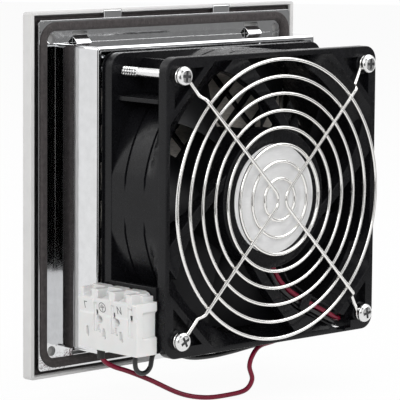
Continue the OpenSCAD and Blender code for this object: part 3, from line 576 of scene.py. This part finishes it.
def add_thread(bm, at, y0, y1):
    """Adds a helical thread round an axis along Y, from y0 down to y1."""
    pitch, steps, foot = 1.4, 20, THREAD_ROOT - 0.05
    rows = []
    for k in range(int((y0 - y1) / pitch * steps) + 1):
        a = 2 * math.pi * k / steps
        y = y0 - pitch * k / steps
        fade = min(1, k / steps, (y - y1) / pitch)
        crest = THREAD_ROOT + (SCREW_R - THREAD_ROOT) * max(fade, 0.02)
        rows.append([bm.verts.new(mm(at[0] + r * math.cos(a), y + dy * pitch, at[1] + r * math.sin(a)))
                     for r, dy in ((foot, 0.5), (crest, 0.1), (crest, -0.1), (foot, -0.5))])
    for a, b in zip(rows, rows[1:]):
        for j in range(3):
            bm.faces.new((a[j], a[j + 1], b[j + 1], b[j]))


def make_screws():
    """Pan-head screws with a cross recess, a plain shank and a thread, and dark plates of painted shade in
    the recesses.
    """
    crown, brim = 1.7, 0.6
    dome = [(HEAD_R - crown + crown * math.cos(a), SCREW_SEAT + brim + (HEAD_HEIGHT - brim) * math.sin(a))
            for a in (math.radians(11.25 * i) for i in range(9))]
    tip = SCREW_SEAT - SCREW_LENGTH
    thread_top, thread_end = SCREW_SEAT - 25, tip + 1.6
    recess_top, recess_end = SCREW_SEAT + HEAD_HEIGHT + 0.3, SCREW_SEAT + 0.7
    # The dark plates gathered in floor are painted shade, set part way down the cross recesses rather than at
    # their real floor
    shade_plate_at, shade_plate_t, arm_step = SCREW_SEAT + HEAD_HEIGHT - 0.5, 0.1, 0.02
    bm, floor = bmesh.new(), bmesh.new()
    for sx, sz in CORNERS:
        at = (sx * SCREW_AT, sz * SCREW_AT)
        head = bmesh.new()
        lathe(head, [(0, SCREW_SEAT), (HEAD_R - 0.15, SCREW_SEAT), (HEAD_R, SCREW_SEAT + 0.15), *dome,
                     (0, SCREW_SEAT + HEAD_HEIGHT)], 48, at)
        turn = math.radians(random.uniform(-30, 30) + 20)
        for arm in range(2):
            spin = Matrix.Rotation(turn + arm * math.pi / 2, 4, "Y")
            place = Matrix.Translation(mm(at[0], 0, at[1])) @ spin
            slot = bmesh.new()
            add_prism(slot, [(recess_end, -0.36), (recess_end, 0.36), (recess_top, 0.6), (recess_top, -0.6)],
                      -2.2, 2.2)
            slot.transform(place)
            head = carve(head, slot)
            # Dark plate across this recess arm: painted shade of the deep recess
            plate = bmesh.new()
            y = shade_plate_at - arm_step * arm
            add_block(plate, (-2.1, y, -0.49), (2.1, y + shade_plate_t, 0.49))
            plate.transform(place)
            merge(floor, plate)
        merge(bm, head)
        lathe(bm, [(0, SCREW_SEAT + 0.1), (SCREW_R, SCREW_SEAT + 0.1), (SCREW_R, thread_top),
                   (THREAD_ROOT, thread_top - 0.5), (THREAD_ROOT, thread_end), (0.5, tip + 0.1), (0, tip)],
              32, at)
        add_thread(bm, at, thread_top - 0.2, thread_end)
    screws = add_mesh("guard_screw_set", bm, "base", SCREW_ZINC, 40)
    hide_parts("guard_screws")
    add_mesh("screw_recess_shade_plates", floor, "base", PRINT_AND_SHADE, 30)


# Base frame, cover, gasket, painted gap shade and mat


def make_base_frame():
    """Metallised frame: flange with a bead, collar, ledge, bosses, snap ramps, catches and hinge knuckle."""
    flange_half, bead_inside, ledge_half, ledge_y, ledge_rear = 71.6, 70.8, 54.9, 12, 14
    ramp_x, ramp_half, hole_at, hole_r, slot_z = 49, 4, 64, 2.1, 66
    bm = bmesh.new()
    add_ring(bm, rounded([
        (COLLAR_INSIDE, -2, 0.3, 0.5), (flange_half, -2, 0.35, 1.5), (flange_half, 1, 0.1, 1.5),
        (bead_inside, 1, 0.08, 8.2), (bead_inside, 0, 0.1, 8.2), (COLLAR_HALF, 0, 0.06, 1.5),
        (COLLAR_HALF, FAN_FRONT, 1, 1.5), (COLLAR_INSIDE, FAN_FRONT, 0.4, 0.5),
        (COLLAR_INSIDE, ledge_rear, 0.2, 0.5), (ledge_half, ledge_rear, 0.3, 0.5),
        (ledge_half, ledge_y, 0.3, 0.5), (COLLAR_INSIDE, ledge_y, 0.2, 0.5)]))
    tool = bmesh.new()
    for sx, sz in CORNERS:
        lathe(tool, [(0, -3), (hole_r, -3), (hole_r, 0.5), (0, 0.5)], 32, (sx * hole_at, sz * hole_at))
        add_block(tool, (sx * ramp_x - ramp_half, -3, sz * slot_z - 0.8),
                  (sx * ramp_x + ramp_half, 0.5, sz * slot_z + 0.8))
    bm = carve(bm, tool)
    for sx, sz in CORNERS:
        lathe(bm, [(2, ledge_y), (7.8, ledge_y), (7.8, 20), (5.9, 22), (5.9, FAN_FRONT), (2, FAN_FRONT),
                   (2, ledge_y)], 40, (sx * SCREW_AT, sz * SCREW_AT))
        add_prism(bm, [(-0.05, sz * 61.6), (3, sz * 61.6), (3, sz * COLLAR_HALF), (-0.05, sz * 65.1)],
                  sx * ramp_x - ramp_half, sx * ramp_x + ramp_half, 0.2)
    for sx in (-1, 1):
        add_block(bm, (sx * CATCH_X - 4.8, -2, 70.6), (sx * CATCH_X + 4.8, 0, 74.6), 0.3)
    add_prism(bm, circle(*HINGE, KNUCKLE_R), -KNUCKLE_HALF, KNUCKLE_HALF)
    add_block(bm, (-KNUCKLE_HALF, -1.9, HINGE[1]), (KNUCKLE_HALF, -0.02, -70.7))
    shell = even_normals(add_mesh("base_frame_shell", bm, "base", METALLISED, 40))
    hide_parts("base_frame")


def cover_openings():
    """Notches of the cover for the catches and the hinge of the base frame."""
    tool = bmesh.new()
    for sx in (-1, 1):
        add_block(tool, (sx * CATCH_X - 5.1, -2.3, 72), (sx * CATCH_X + 5.1, 1, 77))
    add_block(tool, (-8.8, -3.5, -77), (8.8, 0.6, -70.9))
    return tool


def make_cover():
    """Louvred cover: rim, front, slats, ribs, catch notches and hinge knuckles."""
    knuckle_x, knuckle_half, rib_x = 12.3, 3.5, LOUVRE_HALF / 3
    slat_rise, slat_back, slat_half = 3.68, -0.6, 56.5
    bm = bmesh.new()
    add_ring(bm, rounded([
        (COVER_INSIDE, 0, 0.15, 0.5), (COVER_HALF, 0, 0.25, 1.2), (COVER_HALF, COVER_FRONT, 0.45, 1.2),
        (LOUVRE_HALF, COVER_FRONT, 0.3, 0.6), (LOUVRE_HALF, COVER_FLOOR, 0.1, 0.6),
        (COVER_INSIDE, COVER_FLOOR, 0.3, 0.5)]))
    # The rim's inner edge leans out at the top and the bottom
    for v in bm.verts:
        if v.co.y > -0.2 * MM and 72.4 * MM < abs(v.co.z) < 73.4 * MM:
            v.co.z += math.copysign(0.7 * MM, v.co.z)
    bm = carve(bm, cover_openings())
    for sx in (-1, 1):
        add_prism(bm, circle(*HINGE, KNUCKLE_R), sx * knuckle_x - knuckle_half, sx * knuckle_x + knuckle_half)
        add_block(bm, (sx * rib_x - 0.8, -3, -slat_half), (sx * rib_x + 0.8, -1, slat_half), 0.2)
    for i in range(LOUVRE_COUNT):
        z = -LOUVRE_HALF + (i + 0.5) * 2 * LOUVRE_HALF / LOUVRE_COUNT - 2.3
        add_prism(bm, [(COVER_FRONT, z), (COVER_FRONT, z + 1.5), (slat_back, z + 1.5 + slat_rise),
                       (slat_back, z + slat_rise)], -slat_half, slat_half, 0.25)
    shell = even_normals(add_mesh("front_cover_shell", bm, "cover", GREY_PLASTIC, 40))
    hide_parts("front_cover")


def make_gasket():
    """Foam gasket on the flange, round on its inner edge."""
    inside, outside, thick = 67.1, 70.75, 2
    bm = bmesh.new()
    add_ring(bm, rounded([(inside, 0, 0.1, 4.5), (outside, 0, 0.1, 8.2), (outside, thick, 0.5, 8.2),
                          (inside, thick, 1.7, 4.5)], 8), 14)
    strip = add_mesh("gasket_strip", bm, "base", GASKET_FOAM_AND_GAP_SHADE, 60)
    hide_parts("gasket")


def make_gap_shade_strip():
    """Thin dark strip on the cover's back and the rim's inner wall, under the edge of the flange: painted
    shade of the narrow gap, in the gasket's foam material.
    """
    inside, outside, foot, face, lip = 69.6, 73.15, -3.32, -2.5, -1.2
    bm = bmesh.new()
    add_ring(bm, rounded([(inside, foot, 0.1, 1), (outside, foot, 0.05, 0.5), (outside, lip, 0.05, 0.5),
                          (72.95, lip, 0.05, 0.5), (72.85, face, 0.1, 0.5), (inside, face, 0.25, 1)], 3))
    bm = carve(bm, cover_openings())
    gap_shade = add_mesh("cover_gap_shade_strip", bm, "cover", GASKET_FOAM_AND_GAP_SHADE, 60)


def make_mat():
    """Fibre mat with an uneven surface."""
    bm = bmesh.new()
    half, count, lumps, depth = 59.4, 64, 0.22, 0.7
    sheets = []
    for y, side in ((0.4, 1), (9.6, -1)):
        rows = []
        for i in range(count + 1):
            row = []
            for j in range(count + 1):
                x, z = half * (2 * i / count - 1), half * (2 * j / count - 1)
                lift = 0.5 + 0.5 * field.fractal(Vector((x * lumps, y, z * lumps)), 1.0, 2.0, 4)
                row.append(bm.verts.new(mm(x, y + side * depth * min(max(lift, 0), 1), z)))
            rows.append(row)
        for i in range(count):
            for j in range(count):
                bm.faces.new((rows[i][j], rows[i + 1][j], rows[i + 1][j + 1], rows[i][j + 1]))
        sheets.append(rows)
    a, b = sheets
    for k in range(count):
        for p, q in (((k, 0), (k + 1, 0)), ((k, count), (k + 1, count)), ((0, k), (0, k + 1)),
                     ((count, k), (count, k + 1))):
            bm.faces.new((a[p[0]][p[1]], a[q[0]][q[1]], b[q[0]][q[1]], b[p[0]][p[1]]))
    mat = add_mesh("filter_mat_sheet", bm, "base", MAT_FIBRE, 60)
    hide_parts("filter_mat")


# Impeller, terminal block and hub disc


def blade_point(s, t, side):
    """Point of a blade's surface at a share of its span and of its chord."""
    root, tip = 26.2, 56.0
    start, wrap, lag = 33, 34 + 8 * s, 6 * s
    r = root + s * (tip - root)
    a = math.radians(start - wrap * t - lag)
    y = CUP_FRONT + 1.6 + 1.2 * s + (CUP_REAR - CUP_FRONT - 3.4 - 3.2 * s) * (t + 0.22 * t * (1 - t))
    thick = (1.7 - 0.6 * s) * (0.4 + 2.4 * t * (1 - t))
    return Vector((r * math.cos(a), y + side * thick / 2, r * math.sin(a))) * MM


def make_impeller():
    """Cup with swept blades."""
    bm = bmesh.new()
    lathe(bm, [(0, CUP_FRONT), (24.6, CUP_FRONT), (25.4, 29.9), (26.2, 30.3), (26.8, 31), (27, 31.9),
               (27, 52.5), (26.8, CUP_REAR), (25.4, CUP_REAR), (25.4, 32.4), (24.8, 31.8), (5, 31.8),
               (5, 36.8), (2.5, 36.8), (2.5, 30.8), (0, 30.8)], 96)
    spans, chords = 12, 14
    for i in range(BLADE_COUNT):
        turn = Matrix.Rotation(2 * math.pi * i / BLADE_COUNT, 3, "Y")
        loops = []
        for k in range(spans + 1):
            s = k / spans
            upper = [blade_point(s, j / chords, 1) for j in range(chords + 1)]
            lower = [blade_point(s, j / chords, -1) for j in range(chords, -1, -1)]
            loops.append([bm.verts.new(turn @ p) for p in upper + lower])
        skin(bm, loops)
        bm.faces.new(loops[0])
        bm.faces.new(loops[-1])
    wheel = add_mesh("impeller_wheel", bm, "rotor", BLADE_PLASTIC, 40)
    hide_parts("impeller")


def add_stroke(bm, x, p, q, width=0.3):
    """Adds a flat printed stroke on the block's marked face between (y, z) points."""
    p, q = Vector(p), Vector(q)
    along = (q - p).normalized() * width / 2
    across = Vector((-along.y, along.x))
    corners = [p - along - across, q + along - across, q + along + across, p - along + across]
    add_prism(bm, [tuple(c) for c in corners], x, x + 0.06)


def make_terminal_block():
    """White terminal block with softly rounded edges, its printed marks, and dark plates of painted shade
    just inside its slits.
    """
    slits = (36, 46.3, 56.1)
    bm = bmesh.new()
    bm.from_mesh(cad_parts["terminal_block"].data)
    for y0, y1 in ((26.6, 28.4), (33.4, 36.9), (43.5, 47), (53.6, 56.9)):
        add_block(bm, (63, y0, -38.5), (71.5, y1, -33.1))
    bm = baked(bm, ("REMESH", {"mode": "VOXEL", "voxel_size": 0.00013}),
               ("SMOOTH", {"factor": 0.5, "iterations": 4}), ("DECIMATE", {"ratio": 0.14}))
    tool = bmesh.new()
    for y in (36.8, 47.0):
        funnel = bmesh.new()
        lathe(funnel, [(0, -3.6), (1.3, -3.6), (1.5, -0.8), (2.1, -0.2), (2.1, 2.5), (0, 2.5)], 32)
        funnel.transform(Matrix.Translation(mm(71.1, y, -45.1)) @ Matrix.Rotation(-math.pi / 2, 4, "Z"))
        merge(tool, funnel)
    bm = carve(bm, tool)
    tool = bmesh.new()
    for y in slits:
        add_block(tool, (67.5, y - 0.65, -43.3), (74, y + 0.65, -41.4))
    for y in (30.9, 40.6, 50.7):
        add_block(tool, (70.2, y - 0.6, -51.8), (74, y + 0.6, -48.4))
    bm = carve(bm, tool)
    block = add_mesh("terminal_block_body", bm, "base", WHITE_PLASTIC, 50)
    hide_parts("terminal_block")
    bm = bmesh.new()
    face, z, lean, earth_y = 71.56, -40.0, 0.218, 39.9
    for p, q in (((30.9, z + 1.3), (29.4, z + 1.3)), ((29.4, z + 1.3), (29.4, z - 1.3))):
        add_stroke(bm, face, p, q)
    ring = circle(earth_y, z, 1.9)
    for p, q in zip(ring, ring[1:] + ring[:1]):
        add_stroke(bm, face, p, q, 0.26)
    add_stroke(bm, face, (earth_y, z - 1.3), (earth_y, z), 0.24)
    for k, half in enumerate((1.2, 0.8, 0.4)):
        add_stroke(bm, face, (earth_y - half, z + 0.5 * k), (earth_y + half, z + 0.5 * k), 0.24)
    for p, q in (((48.9, z - 1.4), (48.9, z + 1.4)), ((50.9, z - 1.4), (50.9, z + 1.4)),
                 ((48.9, z + 1.4), (50.9, z - 1.4))):
        add_stroke(bm, face, p, q)
    # Dark plates just inside the carved slits: painted shade of the slits
    for y in slits:
        add_block(bm, (70.8, y - 0.62, -43.25), (71, y + 0.62, -41.45))
    bm.transform(Matrix(((1, 0, lean, -lean * z * MM), (0, 1, 0, 0), (0, 0, 1, 0), (0, 0, 0, 1))))
    add_mesh("terminal_print_and_slit_shade", bm, "base", PRINT_AND_SHADE, 30)


def make_label():
    """Silver disc on the hub."""
    radius, foot, top = 22.4, FAN_REAR - 0.01, FAN_REAR + 0.3
    bm = bmesh.new()
    lathe(bm, [(0, foot), (radius, foot), (radius, FAN_REAR + 0.22), (22.32, top), (0, top)], 128)
    label = add_mesh("hub_disc_label", bm, "base", LABEL_FILM)
    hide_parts("hub_disc")


# Fan housing: sections round the axis, each a reach along a direction

TRAY_FLOOR = TRAY - 1.05
TRAY_HALF = 3
STRUT_REAR = 63.2


def square_reach(c, s, half, plan):
    """Reach of a square with rounded corners along the direction (c, s)."""
    c, s = abs(c), abs(s)
    reach = half / max(c, s)
    k = half - plan
    if min(c, s) * reach > k:
        reach = (c + s) * k + math.sqrt(max(((c + s) * k) ** 2 - 2 * k * k + plan * plan, 0))
    return reach


def flange_section(half):
    """Square with rounded corners."""
    return lambda c, s: square_reach(c, s, half, FAN_CORNER + half - FAN_HALF)


def round_section(r):
    return lambda c, s: r


def duct_section(r):
    """Circle, cut off a hair inside the flange."""
    return lambda c, s: min(r, square_reach(c, s, FAN_HALF - 0.15, FAN_CORNER))


def opening_section(half, corner):
    """Square with its corners cut off."""
    return lambda c, s: min(half / max(abs(c), abs(s)), corner * math.sqrt(2) / (abs(c) + abs(s)))


def add_sections(bm, sections):
    """Adds a closed ring of sections, each a reach and a place along Y in millimetres."""
    octant = [0, 2.5, 5, 7.5, 10.4, 12.5, 15, 17.5, 20, 22.5, 25, 27.7, 30.1, 32.5, 35, 37.5, 40, 41.97, 42.7,
              43.5, 44.2, 45]
    quadrant = octant + [90 - a for a in reversed(octant[1:-1])]
    turns = [math.radians(90 * q + a) for q in range(4) for a in quadrant]
    loops = []
    for reach, y in sections:
        loop = []
        for a in turns:
            c, s = math.cos(a), math.sin(a)
            loop.append(bm.verts.new(mm(reach(c, s) * c, y, reach(c, s) * s)))
        loops.append(loop)
    skin(bm, loops, True)


def offset_line(points, offset):
    """Plan points moved sideways."""
    moved = []
    for i, p in enumerate(points):
        along = (Vector(points[min(i + 1, len(points) - 1)]) - Vector(points[max(i - 1, 0)])).normalized()
        moved.append(tuple(Vector(p) + offset * Vector((-along.y, along.x))))
    return moved


def strip(points, first, second):
    """Outline of the band between two offsets of a line."""
    return offset_line(points, first) + list(reversed(offset_line(points, second)))


def strut_outline(turn):
    """Plan of a swept strut that widens to the flange, turned by quarters."""
    a, b, c = Vector((13, 17)), Vector((43, 1.4)), Vector((58.6, -25))
    steps, waist, flare, limit = 20, 2, 4.6, 58.7
    shares = [i / steps for i in range(steps + 1)]
    middle = [(1 - t) ** 2 * a + 2 * t * (1 - t) * b + t * t * c for t in shares]
    sides = ([], [])
    for i, p in enumerate(middle):
        along = (middle[min(i + 1, steps)] - middle[max(i - 1, 0)]).normalized()
        half = waist + flare * (i / steps) ** 4
        for side, sign in zip(sides, (1, -1)):
            q = p + sign * half * Vector((-along.y, along.x))
            side.append(Vector((min(q.x, limit), q.y)))
    outline = sides[0] + list(reversed(sides[1]))
    spin = Matrix.Rotation(-turn * math.pi / 2, 2)
    return [tuple(spin @ p) for p in outline]


def housing_sections():
    """Sections of the housing, from the front out round the flanges and the grooved duct, and back inside."""
    f, d, o = flange_section, duct_section, opening_section
    duct_r, groove_r, inside_r = 60.6, 59.8, 57.5
    front = [(round_section(58.7), FAN_FRONT), (f(59.5), FAN_FRONT), (f(59.65), 25.87), (f(59.7), 26),
             (f(59.65), 26.15), (f(59.5), 26.2), (f(58.75), 26.2), (f(58.75), 27.8), (f(59.5), 27.8),
             (f(59.68), 27.87), (f(FAN_HALF), 28.05), (f(FAN_HALF), 31.55), (f(59.71), 31.73),
             (f(59.62), 31.8)]
    duct = [(d(duct_r), 31.8)]
    for y in (39.48, 50.88):
        duct += [(d(duct_r), y - 0.1), (d(groove_r), y), (d(groove_r), y + 1), (d(duct_r), y + 1.1)]
    duct += [(d(duct_r), 53.8), (d(64.27), 56.8), (d(67.3), 59.3)]
    rear = [(f(59.62), 59.3), (f(59.71), 59.37), (f(FAN_HALF), 59.55), (f(FAN_HALF), 63.4), (f(59.63), 63.68),
            (f(59.35), FAN_REAR), (o(57.9, 64.7), FAN_REAR), (o(57.55, 64.35), 63.68), (o(57.4, 64), 63.3)]
    return front + duct + rear + [(round_section(inside_r), 56.8), (round_section(inside_r), 31.8)]


def add_webs(bm, turn):
    """Adds the two webs between the flanges on one side; the one by the terminal block is cut back."""
    low, high, near, far, half, edge = 30.8, 56.9, 43.5, 57.35, 0.9, 0.25
    for z in (-42, 42):
        web = bmesh.new()
        if turn == 1 and z < 0:
            add_block(web, (near, low, z - half), (far, 50.3, z + half), edge)
            add_block(web, (near, 50, z - half), (53.2, high, z + half), edge)
        else:
            add_block(web, (near, low, z - half), (far, high, z + half), edge)
            add_block(web, (50, 56, z - half), (far, 60, z + half), edge)
        web.transform(Matrix.Rotation(turn * math.pi / 2, 4, "Y"))
        merge(bm, web)


def add_tray(bm):
    """Adds the tray of the leads: its floor, its two walls and the strap over it."""
    line = [(0, -26), (-7, -37), (-17, -43.5), (-28, -49), (-37, -53.3)]
    outside, strap_half = 3.8, 2.4
    add_prism(bm, strip(line, outside, -outside), TRAY - 2.55, TRAY_FLOOR, 0.2, "y")
    for first, second in ((outside, TRAY_HALF), (-TRAY_HALF, -outside)):
        add_prism(bm, strip(line, first, second), TRAY - 1.1, STRUT_REAR, 0.2, "y")
    along = Vector((0.899, 0.438))
    across = Vector((-along.y, along.x))
    ends = ((-strap_half, -outside), (strap_half, -outside), (strap_half, outside), (-strap_half, outside))
    strap = [Vector((-19.5, -44.6)) + along * p + across * q for p, q in ends]
    add_prism(bm, [tuple(p) for p in strap], 62.95, 63.75, 0.2, "y")


def make_fan_housing():
    """Housing of the fan: two flanges, grooved duct, webs, struts, lead tray and hub."""
    pocket_at, pocket_leg, floor, bore = 55.35, 15.95, 60.8, 9.5
    hole_r, boss_r, boss_top = 2.2, 4.4, 63.78
    bm = bmesh.new()
    add_sections(bm, housing_sections())
    tool = bmesh.new()
    for sx, sz in CORNERS:
        add_prism(tool, [(sx * pocket_at, sz * pocket_at), (sx * (pocket_at - pocket_leg), sz * pocket_at),
                         (sx * pocket_at, sz * (pocket_at - pocket_leg))], floor, 65, 0, "y")
    bm = carve(bm, tool)
    tool = bmesh.new()
    for sx, sz in CORNERS:
        lathe(tool, [(0, 20), (hole_r, 20), (hole_r, 70), (0, 70)], 24, (sx * SCREW_AT, sz * SCREW_AT))
    add_block(tool, (-46.6, 58.3, -58.4), (-38.2, 66, -52.6))
    add_block(tool, (57.8, 31.8, -58.5), (61, 59.3, -31))
    bm = carve(bm, tool)
    tool = bmesh.new()
    way_out = [(-25, -48), (-37, -54), (-44, -56.4)]
    add_prism(tool, strip(way_out, TRAY_HALF, -TRAY_HALF), TRAY_FLOOR, 66, 0, "y")
    bm = carve(bm, tool)
    for turn in range(4):
        add_webs(bm, turn)
        add_prism(bm, strut_outline(turn), 57.8, STRUT_REAR, 0.45, "y")
    for sx, sz in CORNERS:
        lathe(bm, [(hole_r, 59.4), (boss_r, 59.4), (boss_r, 63.5), (4.15, boss_top), (hole_r, boss_top)], 40,
              (sx * SCREW_AT, sz * SCREW_AT))
    add_tray(bm)
    add_block(bm, (-47.8, 47.3, -59), (-46.6, 59.5, -51.2), 0.25)
    lathe(bm, [(bore, floor), (26.9, floor), (26.9, 53.8), (28.3, 53.8), (HUB_R, 54), (HUB_R, 63.3),
               (28.35, 63.65), (28, FAN_REAR), (bore, FAN_REAR), (bore, floor)], 128)
    body = even_normals(add_mesh("fan_housing_body", bm, "base", BLACK_PLASTIC, 35))
    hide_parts("fan_housing")


# Bracket, and CAD nodes that show as they are


def make_terminal_bracket():
    """Bracket with the CAD node's shape, with clean faces and rounded edges."""
    bm = bmesh.new()
    bm.from_mesh(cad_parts["terminal_bracket"].data)
    bmesh.ops.remove_doubles(bm, verts=bm.verts, dist=2e-6)
    bmesh.ops.dissolve_limit(bm, angle_limit=math.radians(0.5), verts=bm.verts, edges=bm.edges)
    plate = add_mesh("terminal_bracket_plate", bm, "base", BLACK_PLASTIC)
    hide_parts("terminal_bracket")
    edges = plate.modifiers.new("round_edges", "BEVEL")
    edges.width = 0.25 * MM
    edges.segments = 2
    edges.limit_method = "ANGLE"
    edges.angle_limit = math.radians(40)
    edges.use_clamp_overlap = False
    edges.miter_outer = "MITER_ARC"
    even_normals(plate)


def finish_cad_nodes():
    """Gives the CAD nodes that show as they are their materials."""
    finishes = {
        "inner_grid": BLACK_PLASTIC, "bearing_tube": BRASS, "front_bearing": STEEL, "rear_bearing": STEEL,
        "stator_core": CORE_STEEL, "coil_bobbins": CREAM_PLASTIC, "stator_coils": COPPER,
        "terminal_clamps": STEEL, "terminal_bars": BRASS, "lead_sleeve": RUBBER, "hinge_pin": STEEL,
        "rotor_ring": CORE_STEEL, "shaft": STEEL, "preload_spring": STEEL, "retaining_clip": STEEL}
    for node, material in finishes.items():
        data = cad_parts[node].data
        data.materials.clear()
        data.materials.append(material)


# Camera and studio


def make_camera():
    """Camera of the photograph."""
    data = bpy.data.cameras.new("camera")
    data.lens = CAMERA_LENS
    data.sensor_width = 36
    camera = bpy.data.objects.new("camera", data)
    scene.collection.objects.link(camera)
    at = mm(*CAMERA_AT)
    look = (mm(*CAMERA_TARGET) - at).to_track_quat("-Z", "Y").to_matrix().to_4x4()
    roll = Matrix.Rotation(math.radians(CAMERA_ROLL), 4, "Z")
    camera.matrix_world = Matrix.Translation(at) @ look @ roll
    scene.camera = camera


def shown(tree):
    """1 for rays of the camera and of reflections, 0 for the light that falls on the object."""
    path = add_node(tree, "LightPath")
    seen = combine(tree, "MAXIMUM", path.outputs["Is Camera Ray"], path.outputs["Is Glossy Ray"])
    return combine(tree, "MAXIMUM", seen, path.outputs["Is Transmission Ray"])


def pale_surface(name, level, glow_share):
    """Pale floor that shows nearly white, with a soft shadow left."""
    mat, tree, bsdf = new_material(name)
    bsdf.inputs["Base Color"].default_value = (level, level, level, 1)
    bsdf.inputs["Roughness"].default_value = 0.9
    glow = add_node(tree, "Emission", {"Strength": 1.0})
    share = add_node(tree, "Math", {1: glow_share}, operation="MULTIPLY")
    mix = add_node(tree, "MixShader")
    tree.links.new(shown(tree), share.inputs[0])
    tree.links.new(share.outputs[0], mix.inputs["Fac"])
    tree.links.new(bsdf.outputs["BSDF"], mix.inputs[1])
    tree.links.new(glow.outputs["Emission"], mix.inputs[2])
    tree.links.new(mix.outputs["Shader"], tree.nodes["Material Output"].inputs["Surface"])
    return mat


def card_surface(name, level):
    """Even card of that brightness, black at 0."""
    mat, tree, _ = new_material(name)
    glow = add_node(tree, "Emission", {"Color": (level, level, level, 1), "Strength": 1.0})
    tree.links.new(glow.outputs["Emission"], tree.nodes["Material Output"].inputs["Surface"])
    return mat


def stage_plane(name, corners, material, only_reflected=False):
    """Plane of the studio, seen only in reflections if asked."""
    mesh = bpy.data.meshes.new(name)
    mesh.from_pydata(corners, [], [(0, 1, 2, 3)])
    obj = bpy.data.objects.new(name, mesh)
    mesh.materials.append(material)
    scene.collection.objects.link(obj)
    if only_reflected:
        obj.visible_camera = obj.visible_diffuse = obj.visible_shadow = False


def add_softbox(name, at, size, power, reflected=True):
    """Area light aimed at the object, seen in reflections or not."""
    aim = Vector((0, 0.03, 0))
    data = bpy.data.lights.new(name, "AREA")
    data.shape = "RECTANGLE"
    data.size, data.size_y = size
    data.energy = power
    lamp = bpy.data.objects.new(name, data)
    lamp.location = at
    lamp.rotation_mode = "QUATERNION"
    lamp.rotation_quaternion = (aim - Vector(at)).to_track_quat("-Z", "Y")
    lamp.visible_glossy = reflected
    scene.collection.objects.link(lamp)


def make_studio():
    """White floor and surroundings, softboxes, and black flags and a grey card that the metal mirrors."""
    low = cad_box[0].z - 0.0005
    away = mm(*CAMERA_TARGET) - mm(*CAMERA_AT)
    away.z = 0
    away.normalize()
    right = Vector((away.y, -away.x, 0))
    centre = Vector((0, 0.03, low))

    def spot(forward, sideways, up=0.0):
        return centre + forward * away + sideways * right + Vector((0, 0, up))

    half, lift = 3.0, 0.0002
    stage_plane("floor", [spot(-half, -half), spot(-half, half), spot(half, half), spot(half, -half)],
                pale_surface("pale_stage", 0.85, 0.95))
    flag, grey = card_surface("black_flag", 0.0), card_surface("grey_card", 0.25)
    # Corners of each card: forward, to the right and up from the object, in metres
    cards = [
        ("flag_foot", flag, [(-0.36, -0.22, lift), (-0.36, 0.22, lift), (-1.1, 0.35, lift),
                             (-1.1, -0.35, lift)]),
        ("flag", flag, [(-1.1, -0.35), (-1.1, 0.35), (-1.1, 0.35, 0.3), (-1.1, -0.35, 0.3)]),
        ("flag_top", flag, [(-0.9, 0.25, 0.7), (-0.9, 0.95, 0.7), (-0.8, 0.95, 1.4), (-0.8, 0.25, 1.4)]),
        ("card_foot", grey, [(-0.2, 0.25, lift), (-0.22, 0.9, lift), (0.22, 0.9, lift), (0.2, 0.25, lift)]),
        ("card", grey, [(-0.22, 0.9), (0.22, 0.9), (0.22, 0.9, 0.3), (-0.22, 0.9, 0.3)])]
    for name, material, corners in cards:
        stage_plane(name, [spot(*corner) for corner in corners], material, True)
    add_softbox("top", (-0.35, 0.15, 0.95), (1.4, 1.0), 7.5)
    add_softbox("left", (0.95, 0.2, 0.6), (0.6, 0.6), 3.2)
    add_softbox("right", (-0.75, 0.95, 0.62), (0.8, 0.5), 4.4)
    add_softbox("fill", (0.72, 0.86, 0.36), (0.3, 0.3), 5.6, reflected=False)
    add_softbox("front", (0.25, -1.15, 0.5), (1.2, 0.8), 6.0)
    world = bpy.data.worlds.new("studio")
    world.use_nodes = True
    tree = world.node_tree
    ambient = add_node(tree, "MapRange", {"To Min": 0.22, "To Max": 1.0})
    tree.links.new(shown(tree), ambient.inputs["Value"])
    back = tree.nodes["Background"]
    back.inputs["Color"].default_value = (1, 1, 1, 1)
    tree.links.new(ambient.outputs["Result"], back.inputs["Strength"])
    scene.world = world
    scene.view_settings.view_transform = "Standard"


make_camera()
make_lead("red_lead_wire", "red_lead", RED_ROUTE, RED_PVC)
make_lead("black_lead_wire", "black_lead", BLACK_ROUTE, BLACK_PVC)
make_guard()
make_screws()
make_base_frame()
make_cover()
make_gasket()
make_gap_shade_strip()
make_mat()
make_impeller()
make_terminal_block()
make_label()
make_fan_housing()
make_terminal_bracket()
finish_cad_nodes()
make_studio()
